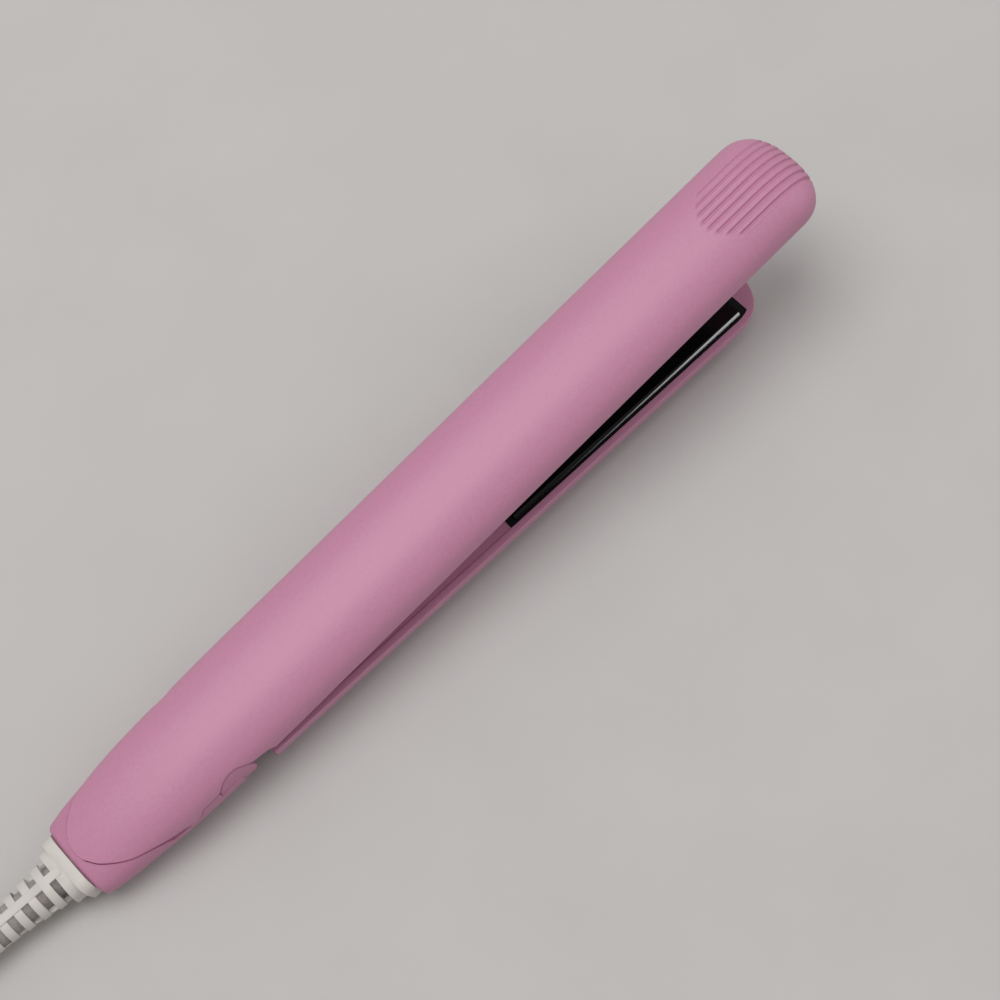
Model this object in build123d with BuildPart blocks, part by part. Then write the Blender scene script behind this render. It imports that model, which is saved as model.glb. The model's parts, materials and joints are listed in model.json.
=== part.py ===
from build123d import *
import os
from math import sin, cos, tan, radians, pi

os.makedirs("parts", exist_ok=True)

# ---------------------------------------------------------------- dimensions, mm
LENGTH = 195.0          # upper arm, tail end to tip
HALF = 11.5             # half the width of both arms
UP_DEPTH = 8.0          # upper arm, rim to crown
UP_N = 2.4              # roundness of the upper arm's section (2 is an ellipse)
WALL = 1.5              # shell wall
RIM_GAP = 1.2           # between the two rims when closed
LO_START = 41.0         # squared rear end of the lower arm
LO_END = 178.0          # tip of the lower arm
LO_DEPTH = 9.0          # lower arm, rim to its flat underside
LO_N = 2.6
NOSE = 14.0             # length of the upper arm's rounded nose
TIP_E = 9.0             # length of the plan rounding at the tips
TIP_N = 2.4
HINGE_X, HINGE_Z = 32.5, -0.6
EAR_R = 4.4             # round hinge ears of the tail cover
EAR_Y = 10.45           # their flat outer faces
LUG_R = 4.2             # round lugs of the lower arm
PIN_R = 1.5
PIN_FIT = 0.05          # radial running clearance of the pin
OPEN_DEG = 7.6          # angle between the arms at rest, against the stop
PLATE_X0, PLATE_X1 = 106.6, 171.1
PLATE_HALF = 9.25
PROUD = 0.45            # plate face stands this far out of the rim
FLOAT = 0.5             # how far a plate can be pushed in
RECESS = 0.3            # insert face below the rim
INSERT_T = 1.4
FRAME_X0, FRAME_X1 = 104.9, 172.8
SPRING_X = 48.0
SWITCH_X0, SWITCH_TRAVEL = 61.3, 2.5
CORD_R = 2.5
RELIEF_L = 30.0         # ladder of the strain relief
RELIEF_TURN = 2.0       # degrees to the left
HANK_L = 74.0           # straight part of the put-away hank
LANE_IN, LANE_OUT = 15.4, 20.6   # fold radii of its two lanes
HANK_T = 15.3           # three turns on top of each other
TIE_T = 0.6
GROOVES = 8
GROOVE_PITCH = 1.72
CLEAR = 0.03            # the plan and side outlines run this far outside the section

# ---------------------------------------------------------------- frames
A = radians(OPEN_DEG)
FLOOR = RIM_GAP + LO_DEPTH
TIP_X = HINGE_X + (LENGTH - HINGE_X) * cos(A) + HINGE_Z * sin(A)
RELIEF_X = HINGE_X - (HINGE_X + 2.3) * cos(A) + HINGE_Z * sin(A)
X_MID = (TIP_X + RELIEF_X - RELIEF_L * cos(radians(RELIEF_TURN))) / 2

# LO: x from the tail end along the closed pair of arms, z = 0 at the upper rim
LO = Plane(origin=(-X_MID, 0, FLOOR), x_dir=(1, 0, 0), z_dir=(0, 0, 1))
HINGE = Vector(HINGE_X - X_MID, 0, FLOOR + HINGE_Z)
UX, UZ = Vector(cos(A), 0, sin(A)), Vector(-sin(A), 0, cos(A))
# UP: the same coordinates, carried by the upper arm, which is tilted open
UP = Plane(origin=HINGE - UX * HINGE_X - UZ * HINGE_Z, x_dir=UX, z_dir=UZ)
# LM: lower arm, z = 0 at its own rim and growing into the arm
LM = Plane(origin=(-X_MID, 0, FLOOR - RIM_GAP), x_dir=(1, 0, 0), z_dir=(0, 0, -1))


def plan(base, z):
    return base.offset(z)


def section(base, x):
    return Plane(origin=base.from_local_coords(Vector(x, 0, 0)), x_dir=base.y_dir, z_dir=base.x_dir)


def side(base, y):
    return Plane(origin=base.from_local_coords(Vector(0, y, 0)), x_dir=base.x_dir, z_dir=base.y_dir * -1)


def at(base, x, y, z):
    return base.from_local_coords(Vector(x, y, z))


# ---------------------------------------------------------------- outlines
# half width, height above the rim plane and depth below it, along the tail
STATIONS = (0, 5, 10, 15, 20, 26, 33, 40, 46)
TAIL_W = [(0, 8.75), (5, 9.6), (10, 10.05), (15, 10.5), (20, 10.9), (26, 11.1), (33, 11.25), (40, 11.42), (46, 11.5)]
TAIL_TOP = [(0, 4.7), (5, 5.8), (10, 6.6), (15, 7.2), (20, 7.6), (26, 7.88), (33, 8.0), (46, 8.0)]
TAIL_BOTTOM = [(0, 5.0), (5, 5.85), (10, 6.65), (15, 7.35), (20, 8.0), (26, 8.65), (33, 9.15), (40, 9.35)]


def blend(table, x):
    for (x0, v0), (x1, v1) in zip(table, table[1:]):
        if x <= x1:
            return v0 + (v1 - v0) * (x - x0) / (x1 - x0)
    return table[-1][1]


def quarter(a, b, n, count=9):
    """Points of a rounded quarter from (0, b) to (a, 0)."""
    out = []
    for k in range(count + 1):
        t = pi / 2 * k / count
        out.append((a * sin(t) ** (2 / n), b * cos(t) ** (2 / n) if k < count else 0.0))
    return out


def arch(a, h, n, count=24):
    """Points of the rounded section from (-a, 0) over (0, h) to (a, 0)."""
    out = []
    for k in range(count + 1):
        t = pi * k / count
        c, s = cos(t), sin(t)
        c = 0.0 if abs(c) < 1e-12 else c
        s = 0.0 if k in (0, count) else s
        out.append((-a * (1 if c > 0 else -1) * abs(c) ** (2 / n), h * s ** (2 / n)))
    return out


def tail_form(x0, x1, narrower, lower, table, n, sign=1):
    """Tail lofted through its sections above (sign 1) or below (sign -1) the rim plane."""
    xs = [x0] + [x for x in STATIONS if x0 + 0.4 < x < x1 - 0.4] + [x1]
    with BuildPart() as body:
        for x in xs:
            with BuildSketch(section(UP, x)):
                with BuildLine():
                    pts = [(y, sign * z) for y, z in arch(blend(TAIL_W, x) - narrower, blend(table, x) - lower, n)]
                    Spline(*pts, tangents=[(0, sign), (0, -sign)])
                    Line(pts[-1], pts[0])
                make_face()
        loft()
    return body.part


def upper_body(inset):
    """Outer form of the upper arm and tail above the rim plane, shrunk by inset."""
    half, depth, end = HALF - inset, UP_DEPTH - inset, LENGTH - inset
    joint = STATIONS[-1]
    tip = [(LENGTH - TIP_E + x, y) for x, y in quarter(TIP_E - inset, half + CLEAR, TIP_N)]
    nose = [(LENGTH - NOSE + x, z) for x, z in quarter(NOSE - inset + 0.05, depth + CLEAR, 2.3)]
    with BuildPart() as body:
        with BuildSketch(section(UP, joint)):
            with BuildLine():
                pts = arch(half, depth, UP_N)
                Spline(*pts, tangents=[(0, 1), (0, -1)])
                Line(pts[-1], pts[0])
            make_face()
        extrude(amount=end - joint + 1)
        with BuildSketch(plan(UP, -2)):
            with BuildLine():
                Line((joint - 1, half + 1), (joint - 1, -half - 1))
                Polyline((joint - 1, half + 1), (tip[0][0] - 2, half + 1), tip[0])
                Spline(*(tip + [(x, -y) for x, y in reversed(tip[:-1])]), tangents=[(1, 0), (-1, 0)])
                Polyline((tip[0][0], -tip[0][1]), (tip[0][0] - 2, -half - 1), (joint - 1, -half - 1))
            make_face()
        extrude(amount=14, mode=Mode.INTERSECT)
        with BuildSketch(side(UP, 0)):
            with BuildLine():
                Polyline((joint - 1, -1), (joint - 1, depth + 1), (nose[0][0] - 2, depth + 1), nose[0])
                Spline(*nose, tangents=[(1, 0), (0, -1)])
                Polyline(nose[-1], (nose[-1][0], -1), (joint - 1, -1))
            make_face()
        extrude(amount=14, both=True, mode=Mode.INTERSECT)
        add(tail_form(inset, joint, inset, inset, TAIL_TOP, UP_N))
    return body.part


def tail_lower(inset, x_end):
    """Outer form of the tail below the rim plane, shrunk by inset."""
    return tail_form(inset, x_end, inset + 0.1, inset, TAIL_BOTTOM, LO_N, -1)


def lower_body(inset, x_start, x_end=LO_END):
    """Outer form of the lower arm from its rim inwards, shrunk by inset."""
    half, depth = HALF - inset, LO_DEPTH - inset
    tip = [(LO_END - TIP_E + x, y) for x, y in quarter(TIP_E - inset, half + CLEAR, TIP_N)]
    nose = [(LO_END - NOSE + x, z) for x, z in quarter(NOSE - inset + 0.05, depth, 2.3)]
    with BuildPart() as body:
        with BuildSketch(section(LM, x_start - 1)):
            with BuildLine():
                pts = arch(half, LO_DEPTH + 0.3 - inset, LO_N)
                Spline(*pts, tangents=[(0, 1), (0, -1)])
                Line(pts[-1], pts[0])
            make_face()
        extrude(amount=LO_END - x_start + 2)
        with BuildSketch(plan(LM, -2)):
            with BuildLine():
                Line((x_start, half + CLEAR), tip[0])
                Spline(*(tip + [(x, -y) for x, y in reversed(tip[:-1])]), tangents=[(1, 0), (-1, 0)])
                Polyline((tip[0][0], -half - CLEAR), (x_start, -half - CLEAR), (x_start, half + CLEAR))
            make_face()
        extrude(amount=16, mode=Mode.INTERSECT)
        with BuildSketch(side(LM, 0)):
            with BuildLine():
                Polyline((x_start - 2, -1), (x_start - 2, depth), nose[0])
                Spline(*nose, tangents=[(1, 0), (0, -1)])
                Polyline(nose[-1], (nose[-1][0], -1), (x_start - 2, -1))
            make_face()
        extrude(amount=14, both=True, mode=Mode.INTERSECT)
        if x_end < LO_END:
            split(bisect_by=section(LM, x_end), keep=Keep.BOTTOM)
    return body.part


# U-shaped rear edge of the top shell, seen from above: (distance from the tail end, half width)
U_EDGE = [(1.75, 0.0), (1.9, 1.8), (2.5, 3.1), (3.6, 4.8), (5.2, 6.3), (7.0, 7.6), (9.2, 8.7), (11.6, 9.4), (14.0, 10.0), (17.0, 10.55), (20.5, 10.95), (23.2, 11.3), (24.6, 11.9)]
# on each flank, seen from the side: cheek of the tail cover, and the arch of the top shell over it and over the hinge ear
CHEEK = [(22.6, -0.6), (22.6, 0.2), (24.6, 1.65), (27.0, 1.6), (28.4, 1.8), (28.4, -0.6)]
ARCH = [(22.4, -1.5), (22.4, 0.25), (24.5, 1.8), (27.0, 1.75), (27.85, 1.95), (27.85, 2.6), (28.5, 3.8), (30.0, 4.2), (33.4, 4.1), (36.9, 2.3), (40.9, 1.2), (41.8, 0.0), (41.8, -1.5)]


def u_region(grow, z0, height):
    """Column above the U-shaped outline, grown outwards by grow."""
    left = [(x - grow * (1 if y < 6 else 0.5), y + grow * (0 if y == 0 else 0.8)) for x, y in U_EDGE]
    with BuildPart() as body:
        with BuildSketch(plan(UP, z0)):
            with BuildLine():
                Spline(*[(x, -y) for x, y in reversed(left)] + left[1:])
                Polyline(left[-1], (25.4, 13), (LENGTH + 2, 13), (LENGTH + 2, -13), (25.4, -13), (left[-1][0], -left[-1][1]))
            make_face()
        extrude(amount=height)
    return body.part


up_outer = upper_body(0.0)
up_cavity = upper_body(WALL)
up_fit = upper_body(WALL + 0.1)
lo_outer = lower_body(0.0, LO_START)
lo_cavity = lower_body(WALL, LO_START + WALL, FRAME_X1 + 0.1)
lo_fit = lower_body(WALL + 0.1, LO_START + WALL + 0.1, FRAME_X1)
u_top = u_region(0.0, -0.5, 12)
u_gap = u_region(0.12, -0.5, 12)
collar_outer = tail_form(0.0, 34.0, 0.1, 0.45, TAIL_TOP, UP_N)
collar_inner = tail_form(2.0, 34.0, 1.95, 2.0, TAIL_TOP, UP_N)
tail_outer = tail_lower(0.0, 33.5)
tail_inner = tail_lower(1.6, 34.5)

SCREW_X = (54.5, 99.0)          # screws of the inserts
TAIL_SCREW = (21.5, 5.6)        # screws of the tail cover

# ---------------------------------------------------------------- top shell
with BuildPart() as top_shell:
    add(up_outer)
    add(up_cavity, mode=Mode.SUBTRACT)
    # bosses for the insert screws and the tail cover screws
    with BuildSketch(plan(UP, RECESS + INSERT_T + 0.05)):
        with Locations((SCREW_X[0], 0), (SCREW_X[1], 0), (183.0, 0)):
            Circle(2.1)
    extrude(amount=UP_DEPTH - 2.4)
    with BuildSketch(plan(UP, 0.15)):
        with Locations((TAIL_SCREW[0], TAIL_SCREW[1]), (TAIL_SCREW[0], -TAIL_SCREW[1])):
            Circle(2.1)
    extrude(amount=6.2)
    add(up_outer, mode=Mode.INTERSECT)
    add(u_top, mode=Mode.INTERSECT)
    # arch over the hinge ears
    with BuildSketch(side(UP, 0)):
        with BuildLine():
            Polyline(*ARCH, ARCH[0])
        make_face()
    extrude(amount=14, both=True, mode=Mode.SUBTRACT, clean=True)
with BuildPart() as top_shell_full:
    add(top_shell.part)
    with BuildSketch(plan(UP, -0.5)):
        with Locations((SCREW_X[0], 0), (SCREW_X[1], 0), (183.0, 0)):
            Circle(0.85)
    extrude(amount=6.0, mode=Mode.SUBTRACT)
    with BuildSketch(plan(UP, -0.5)):
        with Locations((TAIL_SCREW[0], TAIL_SCREW[1]), (TAIL_SCREW[0], -TAIL_SCREW[1])):
            Circle(0.85)
    extrude(amount=5.4, mode=Mode.SUBTRACT)
    # thumb grooves along the tip, following the crown and running out over the nose
    for k in range(GROOVES):
        y = (k - (GROOVES - 1) / 2) * GROOVE_PITCH
        drop = UP_DEPTH * (1 - (1 - (abs(y) / HALF) ** UP_N) ** (1 / UP_N))
        start = 170.3 + 3.6 * (abs(y) / 6.0) ** 2
        # the flank's own run-out over the nose
        line = [(LENGTH - NOSE + x, z - drop - 0.4) for x, z in quarter(NOSE, UP_DEPTH, 2.3)[:7]]
        with BuildSketch(side(UP, y)):
            with BuildLine():
                Polyline((start, 9.5), (start, UP_DEPTH - drop), (start + 0.6, UP_DEPTH - drop - 0.4), line[0])
                Spline(*line, tangents=[(1, 0), (0.7, -1)])
                Polyline(line[-1], (LENGTH + 1, line[-1][1]), (LENGTH + 1, 9.5), (start, 9.5))
            make_face()
        extrude(amount=0.4, both=True, mode=Mode.SUBTRACT)
top_shell_full.part.label = "top_shell"
export_step(top_shell_full.part, "parts/top_shell.step")

# ---------------------------------------------------------------- tail cover
with BuildPart() as collar:
    add(collar_outer)
    add(collar_inner, mode=Mode.SUBTRACT)
    with BuildSketch(plan(UP, -1)):
        with Locations((13.5, 0)):
            Rectangle(27.2, 26)
    extrude(amount=12, mode=Mode.INTERSECT)
    add(u_gap, mode=Mode.SUBTRACT)
with BuildPart() as cheeks:
    add(tail_form(20.0, 34.0, 0.1, 0.1, TAIL_TOP, UP_N))
    add(tail_form(19.0, 35.0, 1.6, 1.6, TAIL_TOP, UP_N), mode=Mode.SUBTRACT)
    with BuildSketch(side(UP, 0)):
        with BuildLine():
            Polyline(*CHEEK, CHEEK[0])
        make_face()
    extrude(amount=14, both=True, mode=Mode.INTERSECT)
with BuildPart() as ears:
    # round ears for the pin, one on each flank, a little below the outer form
    for y0 in (-EAR_Y, EAR_Y - 2.45):
        with BuildSketch(side(UP, y0)):
            with Locations((HINGE_X, HINGE_Z)):
                Circle(EAR_R)
            with Locations((HINGE_X - 3.5, -2.4)):
                Rectangle(7.0, 4.2)
        extrude(amount=-2.45)
with BuildPart() as tail_posts:
    with BuildSketch(plan(UP, -0.1)):
        with Locations((TAIL_SCREW[0], TAIL_SCREW[1]), (TAIL_SCREW[0], -TAIL_SCREW[1])):
            Circle(2.6)
    extrude(amount=-8.0)
    add(tail_outer, mode=Mode.INTERSECT)
with BuildPart() as tail_cover:
    add(tail_outer)
    add(tail_inner, mode=Mode.SUBTRACT)
    add(collar.part)
    add(cheeks.part)
    add(ears.part)
    add(tail_posts.part)
    with BuildSketch(plan(UP, 1)):
        with Locations((TAIL_SCREW[0], TAIL_SCREW[1]), (TAIL_SCREW[0], -TAIL_SCREW[1])):
            Circle(1.15)
    extrude(amount=-14, mode=Mode.SUBTRACT)
    with BuildSketch(plan(UP, -4.2)):
        with Locations((TAIL_SCREW[0], TAIL_SCREW[1]), (TAIL_SCREW[0], -TAIL_SCREW[1])):
            Circle(2.0)
    extrude(amount=-8, mode=Mode.SUBTRACT)
    # blind bores for the pin
    with BuildSketch(side(UP, 0)):
        with Locations((HINGE_X, HINGE_Z)):
            Circle(PIN_R)
    extrude(amount=9.95, both=True, mode=Mode.SUBTRACT)
    # outlet for the strain relief's neck
    with BuildSketch(section(UP, -0.5)):
        Circle(3.3)
    extrude(amount=4, mode=Mode.SUBTRACT)
tail_cover.part.label = "tail_cover"
export_step(tail_cover.part, "parts/tail_cover.step")

# ---------------------------------------------------------------- hinge pin
with BuildPart() as hinge_pin:
    with BuildSketch(side(UP, 0)):
        with Locations((HINGE_X, HINGE_Z)):
            Circle(PIN_R)
    extrude(amount=9.9, both=True)
    chamfer(hinge_pin.faces().sort_by(Axis.Y)[0].edges(), 0.3)
    chamfer(hinge_pin.faces().sort_by(Axis.Y)[-1].edges(), 0.3)
hinge_pin.part.label = "hinge_pin"
export_step(hinge_pin.part, "parts/hinge_pin.step")


# ---------------------------------------------------------------- inserts
def rear_insert(base, fit, x0, switch):
    with BuildPart() as insert:
        with BuildSketch(plan(base, RECESS)):
            with Locations(((x0 + FRAME_X0) / 2 - 0.05, 0)):
                Rectangle(FRAME_X0 - 0.1 - x0, 22)
        extrude(amount=INSERT_T)
        add(fit, mode=Mode.INTERSECT)
        # cup for the opening spring
        with BuildSketch(plan(base, RECESS)):
            with Locations((SPRING_X, 0)):
                Circle(3.8)
        extrude(amount=(4.4 if switch else 5.2) - RECESS)
        with BuildSketch(plan(base, -1)):
            with Locations((SPRING_X, 0)):
                Circle(3.1)
        extrude(amount=(4.6 if switch else 5.4), mode=Mode.SUBTRACT)
        # countersunk screw holes
        for x in SCREW_X:
            with Locations(Plane(origin=at(base, x, 0, RECESS), x_dir=base.x_dir, z_dir=base.z_dir * -1)):
                CounterSinkHole(1.1, 1.9, depth=5, counter_sink_angle=90)
        if switch:
            with BuildSketch(plan(base, -1)):
                with Locations((64.0, 0)):
                    Rectangle(6.2, 3.0)
                with Locations((75.0, 0)):
                    Circle(1.55)
            extrude(amount=4, mode=Mode.SUBTRACT)
    return insert


upper_insert = rear_insert(UP, up_fit, 43.0, True)
upper_insert.part.label = "upper_insert"
export_step(upper_insert.part, "parts/upper_insert.step")
lower_insert = rear_insert(LM, lo_fit, LO_START + WALL + 0.2, False)
lower_insert.part.label = "lower_insert"
export_step(lower_insert.part, "parts/lower_insert.step")

with BuildPart() as upper_tip_insert:
    with BuildSketch(plan(UP, RECESS)):
        with Locations((FRAME_X1 + 0.1 + 12, 0)):
            Rectangle(24, 22)
    extrude(amount=INSERT_T)
    add(up_fit, mode=Mode.INTERSECT)
    with Locations(Plane(origin=at(UP, 183.0, 0, RECESS), x_dir=UP.x_dir, z_dir=UP.z_dir * -1)):
        CounterSinkHole(1.1, 1.9, depth=5, counter_sink_angle=90)
upper_tip_insert.part.label = "upper_tip_insert"
export_step(upper_tip_insert.part, "parts/upper_tip_insert.step")


# ---------------------------------------------------------------- screws
def countersunk_screws(base, xs):
    with BuildPart() as screws:
        for x in xs:
            with BuildSketch(side(base, 0)):
                with BuildLine():
                    Polyline((x, RECESS + 0.1), (x + 1.75, RECESS + 0.1), (x + 0.8, RECESS + 1.05), (x + 0.8, RECESS + 4.6), (x, RECESS + 5.2), (x, RECESS + 0.1))
                make_face()
            revolve(axis=Axis(at(base, x, 0, 0), base.z_dir))
            # cross recess in the head
            with BuildSketch(plan(base, RECESS)):
                with Locations((x, 0)):
                    Rectangle(1.7, 0.35)
                    Rectangle(0.35, 1.7)
            extrude(amount=0.6, mode=Mode.SUBTRACT)
    return screws


upper_insert_screws = countersunk_screws(UP, SCREW_X + (183.0,))
upper_insert_screws.part.label = "upper_insert_screws"
export_step(upper_insert_screws.part, "parts/upper_insert_screws.step")
lower_insert_screws = countersunk_screws(LM, SCREW_X)
lower_insert_screws.part.label = "lower_insert_screws"
export_step(lower_insert_screws.part, "parts/lower_insert_screws.step")

with BuildPart() as tail_screws:
    for y in (TAIL_SCREW[1], -TAIL_SCREW[1]):
        with BuildSketch(plan(UP, -4.25)):
            with Locations((TAIL_SCREW[0], y)):
                Circle(1.8)
        extrude(amount=-1.3)
        with BuildSketch(plan(UP, -4.25)):
            with Locations((TAIL_SCREW[0], y)):
                Circle(0.84)
        extrude(amount=8.2)
        with BuildSketch(plan(UP, -5.6)):
            with Locations((TAIL_SCREW[0], y)):
                Rectangle(2.0, 0.4)
                Rectangle(0.4, 2.0)
        extrude(amount=0.7, mode=Mode.SUBTRACT)
tail_screws.part.label = "tail_screws"
export_step(tail_screws.part, "parts/tail_screws.step")


# ---------------------------------------------------------------- plates, frames, heaters
def plate_frame(base, fit):
    with BuildPart() as frame:
        with BuildSketch(plan(base, -0.1)):
            with Locations(((FRAME_X0 + FRAME_X1) / 2, 0)):
                Rectangle(FRAME_X1 - FRAME_X0, 19.7)
                Rectangle(PLATE_X1 - PLATE_X0 + 0.5, 2 * PLATE_HALF + 0.5, mode=Mode.SUBTRACT)
        extrude(amount=1.7)
        # trimmed to the inside of the shell, below the rim
        with BuildSketch(plan(base, 0.0)):
            with Locations(((FRAME_X0 + FRAME_X1) / 2, 0)):
                Rectangle(FRAME_X1 - FRAME_X0 + 2, 24)
        extrude(amount=4, mode=Mode.INTERSECT)
        add(fit, mode=Mode.INTERSECT)
    return frame


def heater_plate(base):
    with BuildPart() as plate:
        with BuildSketch(section(base, PLATE_X0)):
            with BuildLine():
                b, f = PLATE_HALF, -PROUD
                Polyline((-b, 1.6), (-b, f + 0.75), (-b + 0.7, f), (b - 0.7, f), (b, f + 0.75), (b, 1.6), (6.5, 1.6), (6.5, 3.0), (5.9, 3.0), (5.9, 1.6), (-5.9, 1.6), (-5.9, 3.0), (-6.5, 3.0), (-6.5, 1.6), (-b, 1.6))
            make_face()
        extrude(amount=PLATE_X1 - PLATE_X0)
        # the heater's rails stop short of both ends
        for x in (PLATE_X0 + 2.5, PLATE_X1 - 2.5):
            with BuildSketch(plan(base, 1.6)):
                with Locations((x, 0)):
                    Rectangle(5.4, 16)
            extrude(amount=3, mode=Mode.SUBTRACT)
        # tabs that catch behind the frame and keep the plate in
        for x, s in ((PLATE_X0, 1), (PLATE_X1, -1)):
            for z, long, out in ((1.5, 3.0, 0.0), (1.8, 4.2, 1.2)):
                with BuildSketch(plan(base, z)):
                    with Locations((x + s * (long / 2 - out), 7.0), (x + s * (long / 2 - out), -7.0)):
                        Rectangle(long, 2.6)
                extrude(amount=2.4 - z)
    return plate


def heater_element(base):
    with BuildPart() as heater:
        with BuildSketch(plan(base, 1.62)):
            with Locations((139.0, 0)):
                Rectangle(52.0, 11.2)
        extrude(amount=1.9)
        fillet(heater.edges().filter_by(GeomType.LINE).group_by(Axis(at(base, 0, 0, 0), base.z_dir))[-1], 0.4)
    return heater


def heater_clip(base):
    with BuildPart() as clip:
        with BuildSketch(section(base, 114.0)):
            with BuildLine():
                Polyline((-7.0, 1.9), (-6.65, 1.9), (-6.65, 3.65), (6.65, 3.65), (6.65, 1.9), (7.0, 1.9), (7.0, 4.0), (-7.0, 4.0), (-7.0, 1.9))
            make_face()
        extrude(amount=50.0)
        # slots that leave three springy bands
        with BuildSketch(plan(base, 3.3)):
            with Locations((126.5, 0), (151.5, 0)):
                Rectangle(14.0, 9.0)
        extrude(amount=2, mode=Mode.SUBTRACT)
    return clip


def heat_shield(base, z):
    with BuildPart() as shield:
        with BuildSketch(plan(base, z)):
            with Locations((139.0, 0)):
                RectangleRounded(50.0, 10.4, 1.0)
        extrude(amount=0.3)
    return shield


def float_springs(base, z_top, places):
    """Coil springs between the plate's back and the shell."""
    height = z_top - 1.85
    with BuildPart() as springs:
        for x in places:
            foot = Plane(origin=at(base, x, 0, 1.85), x_dir=base.x_dir, z_dir=base.z_dir)
            with BuildLine():
                path = Helix(pitch=height / 4, height=height - 0.45, radius=1.7, center=foot.origin, direction=foot.z_dir)
            with BuildSketch(Plane(origin=path @ 0, z_dir=path % 0)):
                Circle(0.2)
            sweep(path=path, is_frenet=True)
    return springs


def heater_leads(base):
    with BuildPart() as leads:
        for y in (3.4, -3.4):
            with BuildLine() as lead_path:
                Line(at(base, 112.95, y, 2.5), at(base, 104.0, y, 2.5))
            with BuildSketch(Plane(origin=lead_path.line @ 0, z_dir=lead_path.line % 0)):
                Circle(0.6)
            sweep(path=lead_path.line)
    return leads


def crimps(base, z):
    with BuildPart() as sleeves:
        for y in (3.4, -3.4):
            with BuildSketch(Plane(origin=at(base, 97.0, y, z), x_dir=base.y_dir, z_dir=base.x_dir)):
                Circle(1.15)
            extrude(amount=6.5)
    return sleeves


for arm, base, fit in (("upper", UP, up_fit), ("lower", LM, lo_fit)):
    depth = UP_DEPTH if arm == "upper" else LO_DEPTH
    for name, made in (
        ("plate_frame", plate_frame(base, fit)),
        ("plate", heater_plate(base)),
        ("heater", heater_element(base)),
        ("heater_clip", heater_clip(base)),
        ("heat_shield", heat_shield(base, depth - 3.0)),
        ("heater_leads", heater_leads(base)),
        ("crimps", crimps(base, 2.9)),
    ):
        made.part.label = arm + "_" + name
        export_step(made.part, "parts/" + arm + "_" + name + ".step")

SPRING_PLACES = (109.4, 168.3)
for name, made in (
    ("lower_plate_springs", float_springs(LM, LO_DEPTH - WALL - 0.3, SPRING_PLACES)),
    ("upper_plate_spring_rear", float_springs(UP, UP_DEPTH - WALL - 0.3, SPRING_PLACES[:1])),
    ("upper_plate_spring_front", float_springs(UP, UP_DEPTH - WALL - 0.3, SPRING_PLACES[1:])),
):
    made.part.label = name
    export_step(made.part, "parts/" + name + ".step")

# ---------------------------------------------------------------- lower shell
with BuildPart() as lower_shell:
    add(lo_outer)
    add(lo_cavity, mode=Mode.SUBTRACT)
    with BuildSketch(plan(LM, RECESS + INSERT_T + 0.05)):
        with Locations((SCREW_X[0], 0), (SCREW_X[1], 0)):
            Circle(2.1)
    extrude(amount=LO_DEPTH - WALL - RECESS - INSERT_T)
    # two lugs to the hinge, one at each side of the wires
    for y0 in (-7.6, 5.0):
        with BuildSketch(side(LO, y0)):
            with Locations((HINGE_X, HINGE_Z)):
                Circle(LUG_R)
            with BuildLine():
                Polyline((HINGE_X, HINGE_Z - LUG_R), (LO_START + 1.0, -8.4), (LO_START + 1.0, -1.6), (HINGE_X + 3.4, -1.6), (HINGE_X, HINGE_Z - 0.5), (HINGE_X, HINGE_Z - LUG_R))
            make_face()
        extrude(amount=-2.6)
    with BuildSketch(side(LO, 0)):
        with Locations((HINGE_X, HINGE_Z)):
            Circle(2.5)
    extrude(amount=12, both=True, mode=Mode.SUBTRACT)
    with BuildSketch(plan(LM, -0.5)):
        with Locations((SCREW_X[0], 0), (SCREW_X[1], 0)):
            Circle(0.85)
    extrude(amount=6.6, mode=Mode.SUBTRACT)
    # passage for the wires through the rear wall
    with BuildSketch(section(LM, LO_START - 0.5)):
        with Locations((0, 4.2)):
            Rectangle(9.6, 6.6)
    extrude(amount=2.6, mode=Mode.SUBTRACT)
lower_shell.part.label = "lower_shell"
export_step(lower_shell.part, "parts/lower_shell.step")

with BuildPart() as hinge_bushes:
    for y0 in (-7.6, 5.0):
        with BuildSketch(side(LO, y0)):
            with Locations((HINGE_X, HINGE_Z)):
                Circle(2.48)
                Circle(PIN_R + PIN_FIT, mode=Mode.SUBTRACT)
        extrude(amount=-2.6)
hinge_bushes.part.label = "hinge_bushes"
export_step(hinge_bushes.part, "parts/hinge_bushes.step")

# ---------------------------------------------------------------- opening spring, standing in the lower cup
spring_foot = at(LM, SPRING_X, 0, 4.05)
spring_height = 4.05 + RIM_GAP + (SPRING_X - HINGE_X) * sin(A) + (3.3 - HINGE_Z) * cos(A) + HINGE_Z - 0.7
with BuildPart() as opening_spring:
    with BuildLine():
        coil_path = Helix(pitch=spring_height / 6, height=spring_height - 0.3, radius=2.3, center=spring_foot, direction=(0, 0, 1))
    with BuildSketch(Plane(origin=coil_path @ 0, z_dir=coil_path % 0)):
        Circle(0.3)
    sweep(path=coil_path, is_frenet=True)
opening_spring.part.label = "opening_spring"
export_step(opening_spring.part, "parts/opening_spring.step")

# ---------------------------------------------------------------- switch and lamp
with BuildPart() as switch_body:
    with BuildSketch(plan(UP, RECESS + INSERT_T + 0.05)):
        with Locations((64.0, 0)):
            Rectangle(11.0, 6.0)
    extrude(amount=3.6)
    with BuildSketch(plan(UP, RECESS + INSERT_T)):
        with Locations((64.0, 0)):
            Rectangle(6.6, 3.2)
    extrude(amount=1.9, mode=Mode.SUBTRACT)
    # two solder tags
    for x in (58.2, 69.8):
        with BuildSketch(section(UP, x - 0.6)):
            with Locations((2.0, 4.0)):
                Rectangle(0.5, 1.6)
        extrude(amount=1.2)
switch_body.part.label = "switch_body"
export_step(switch_body.part, "parts/switch_body.step")

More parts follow.
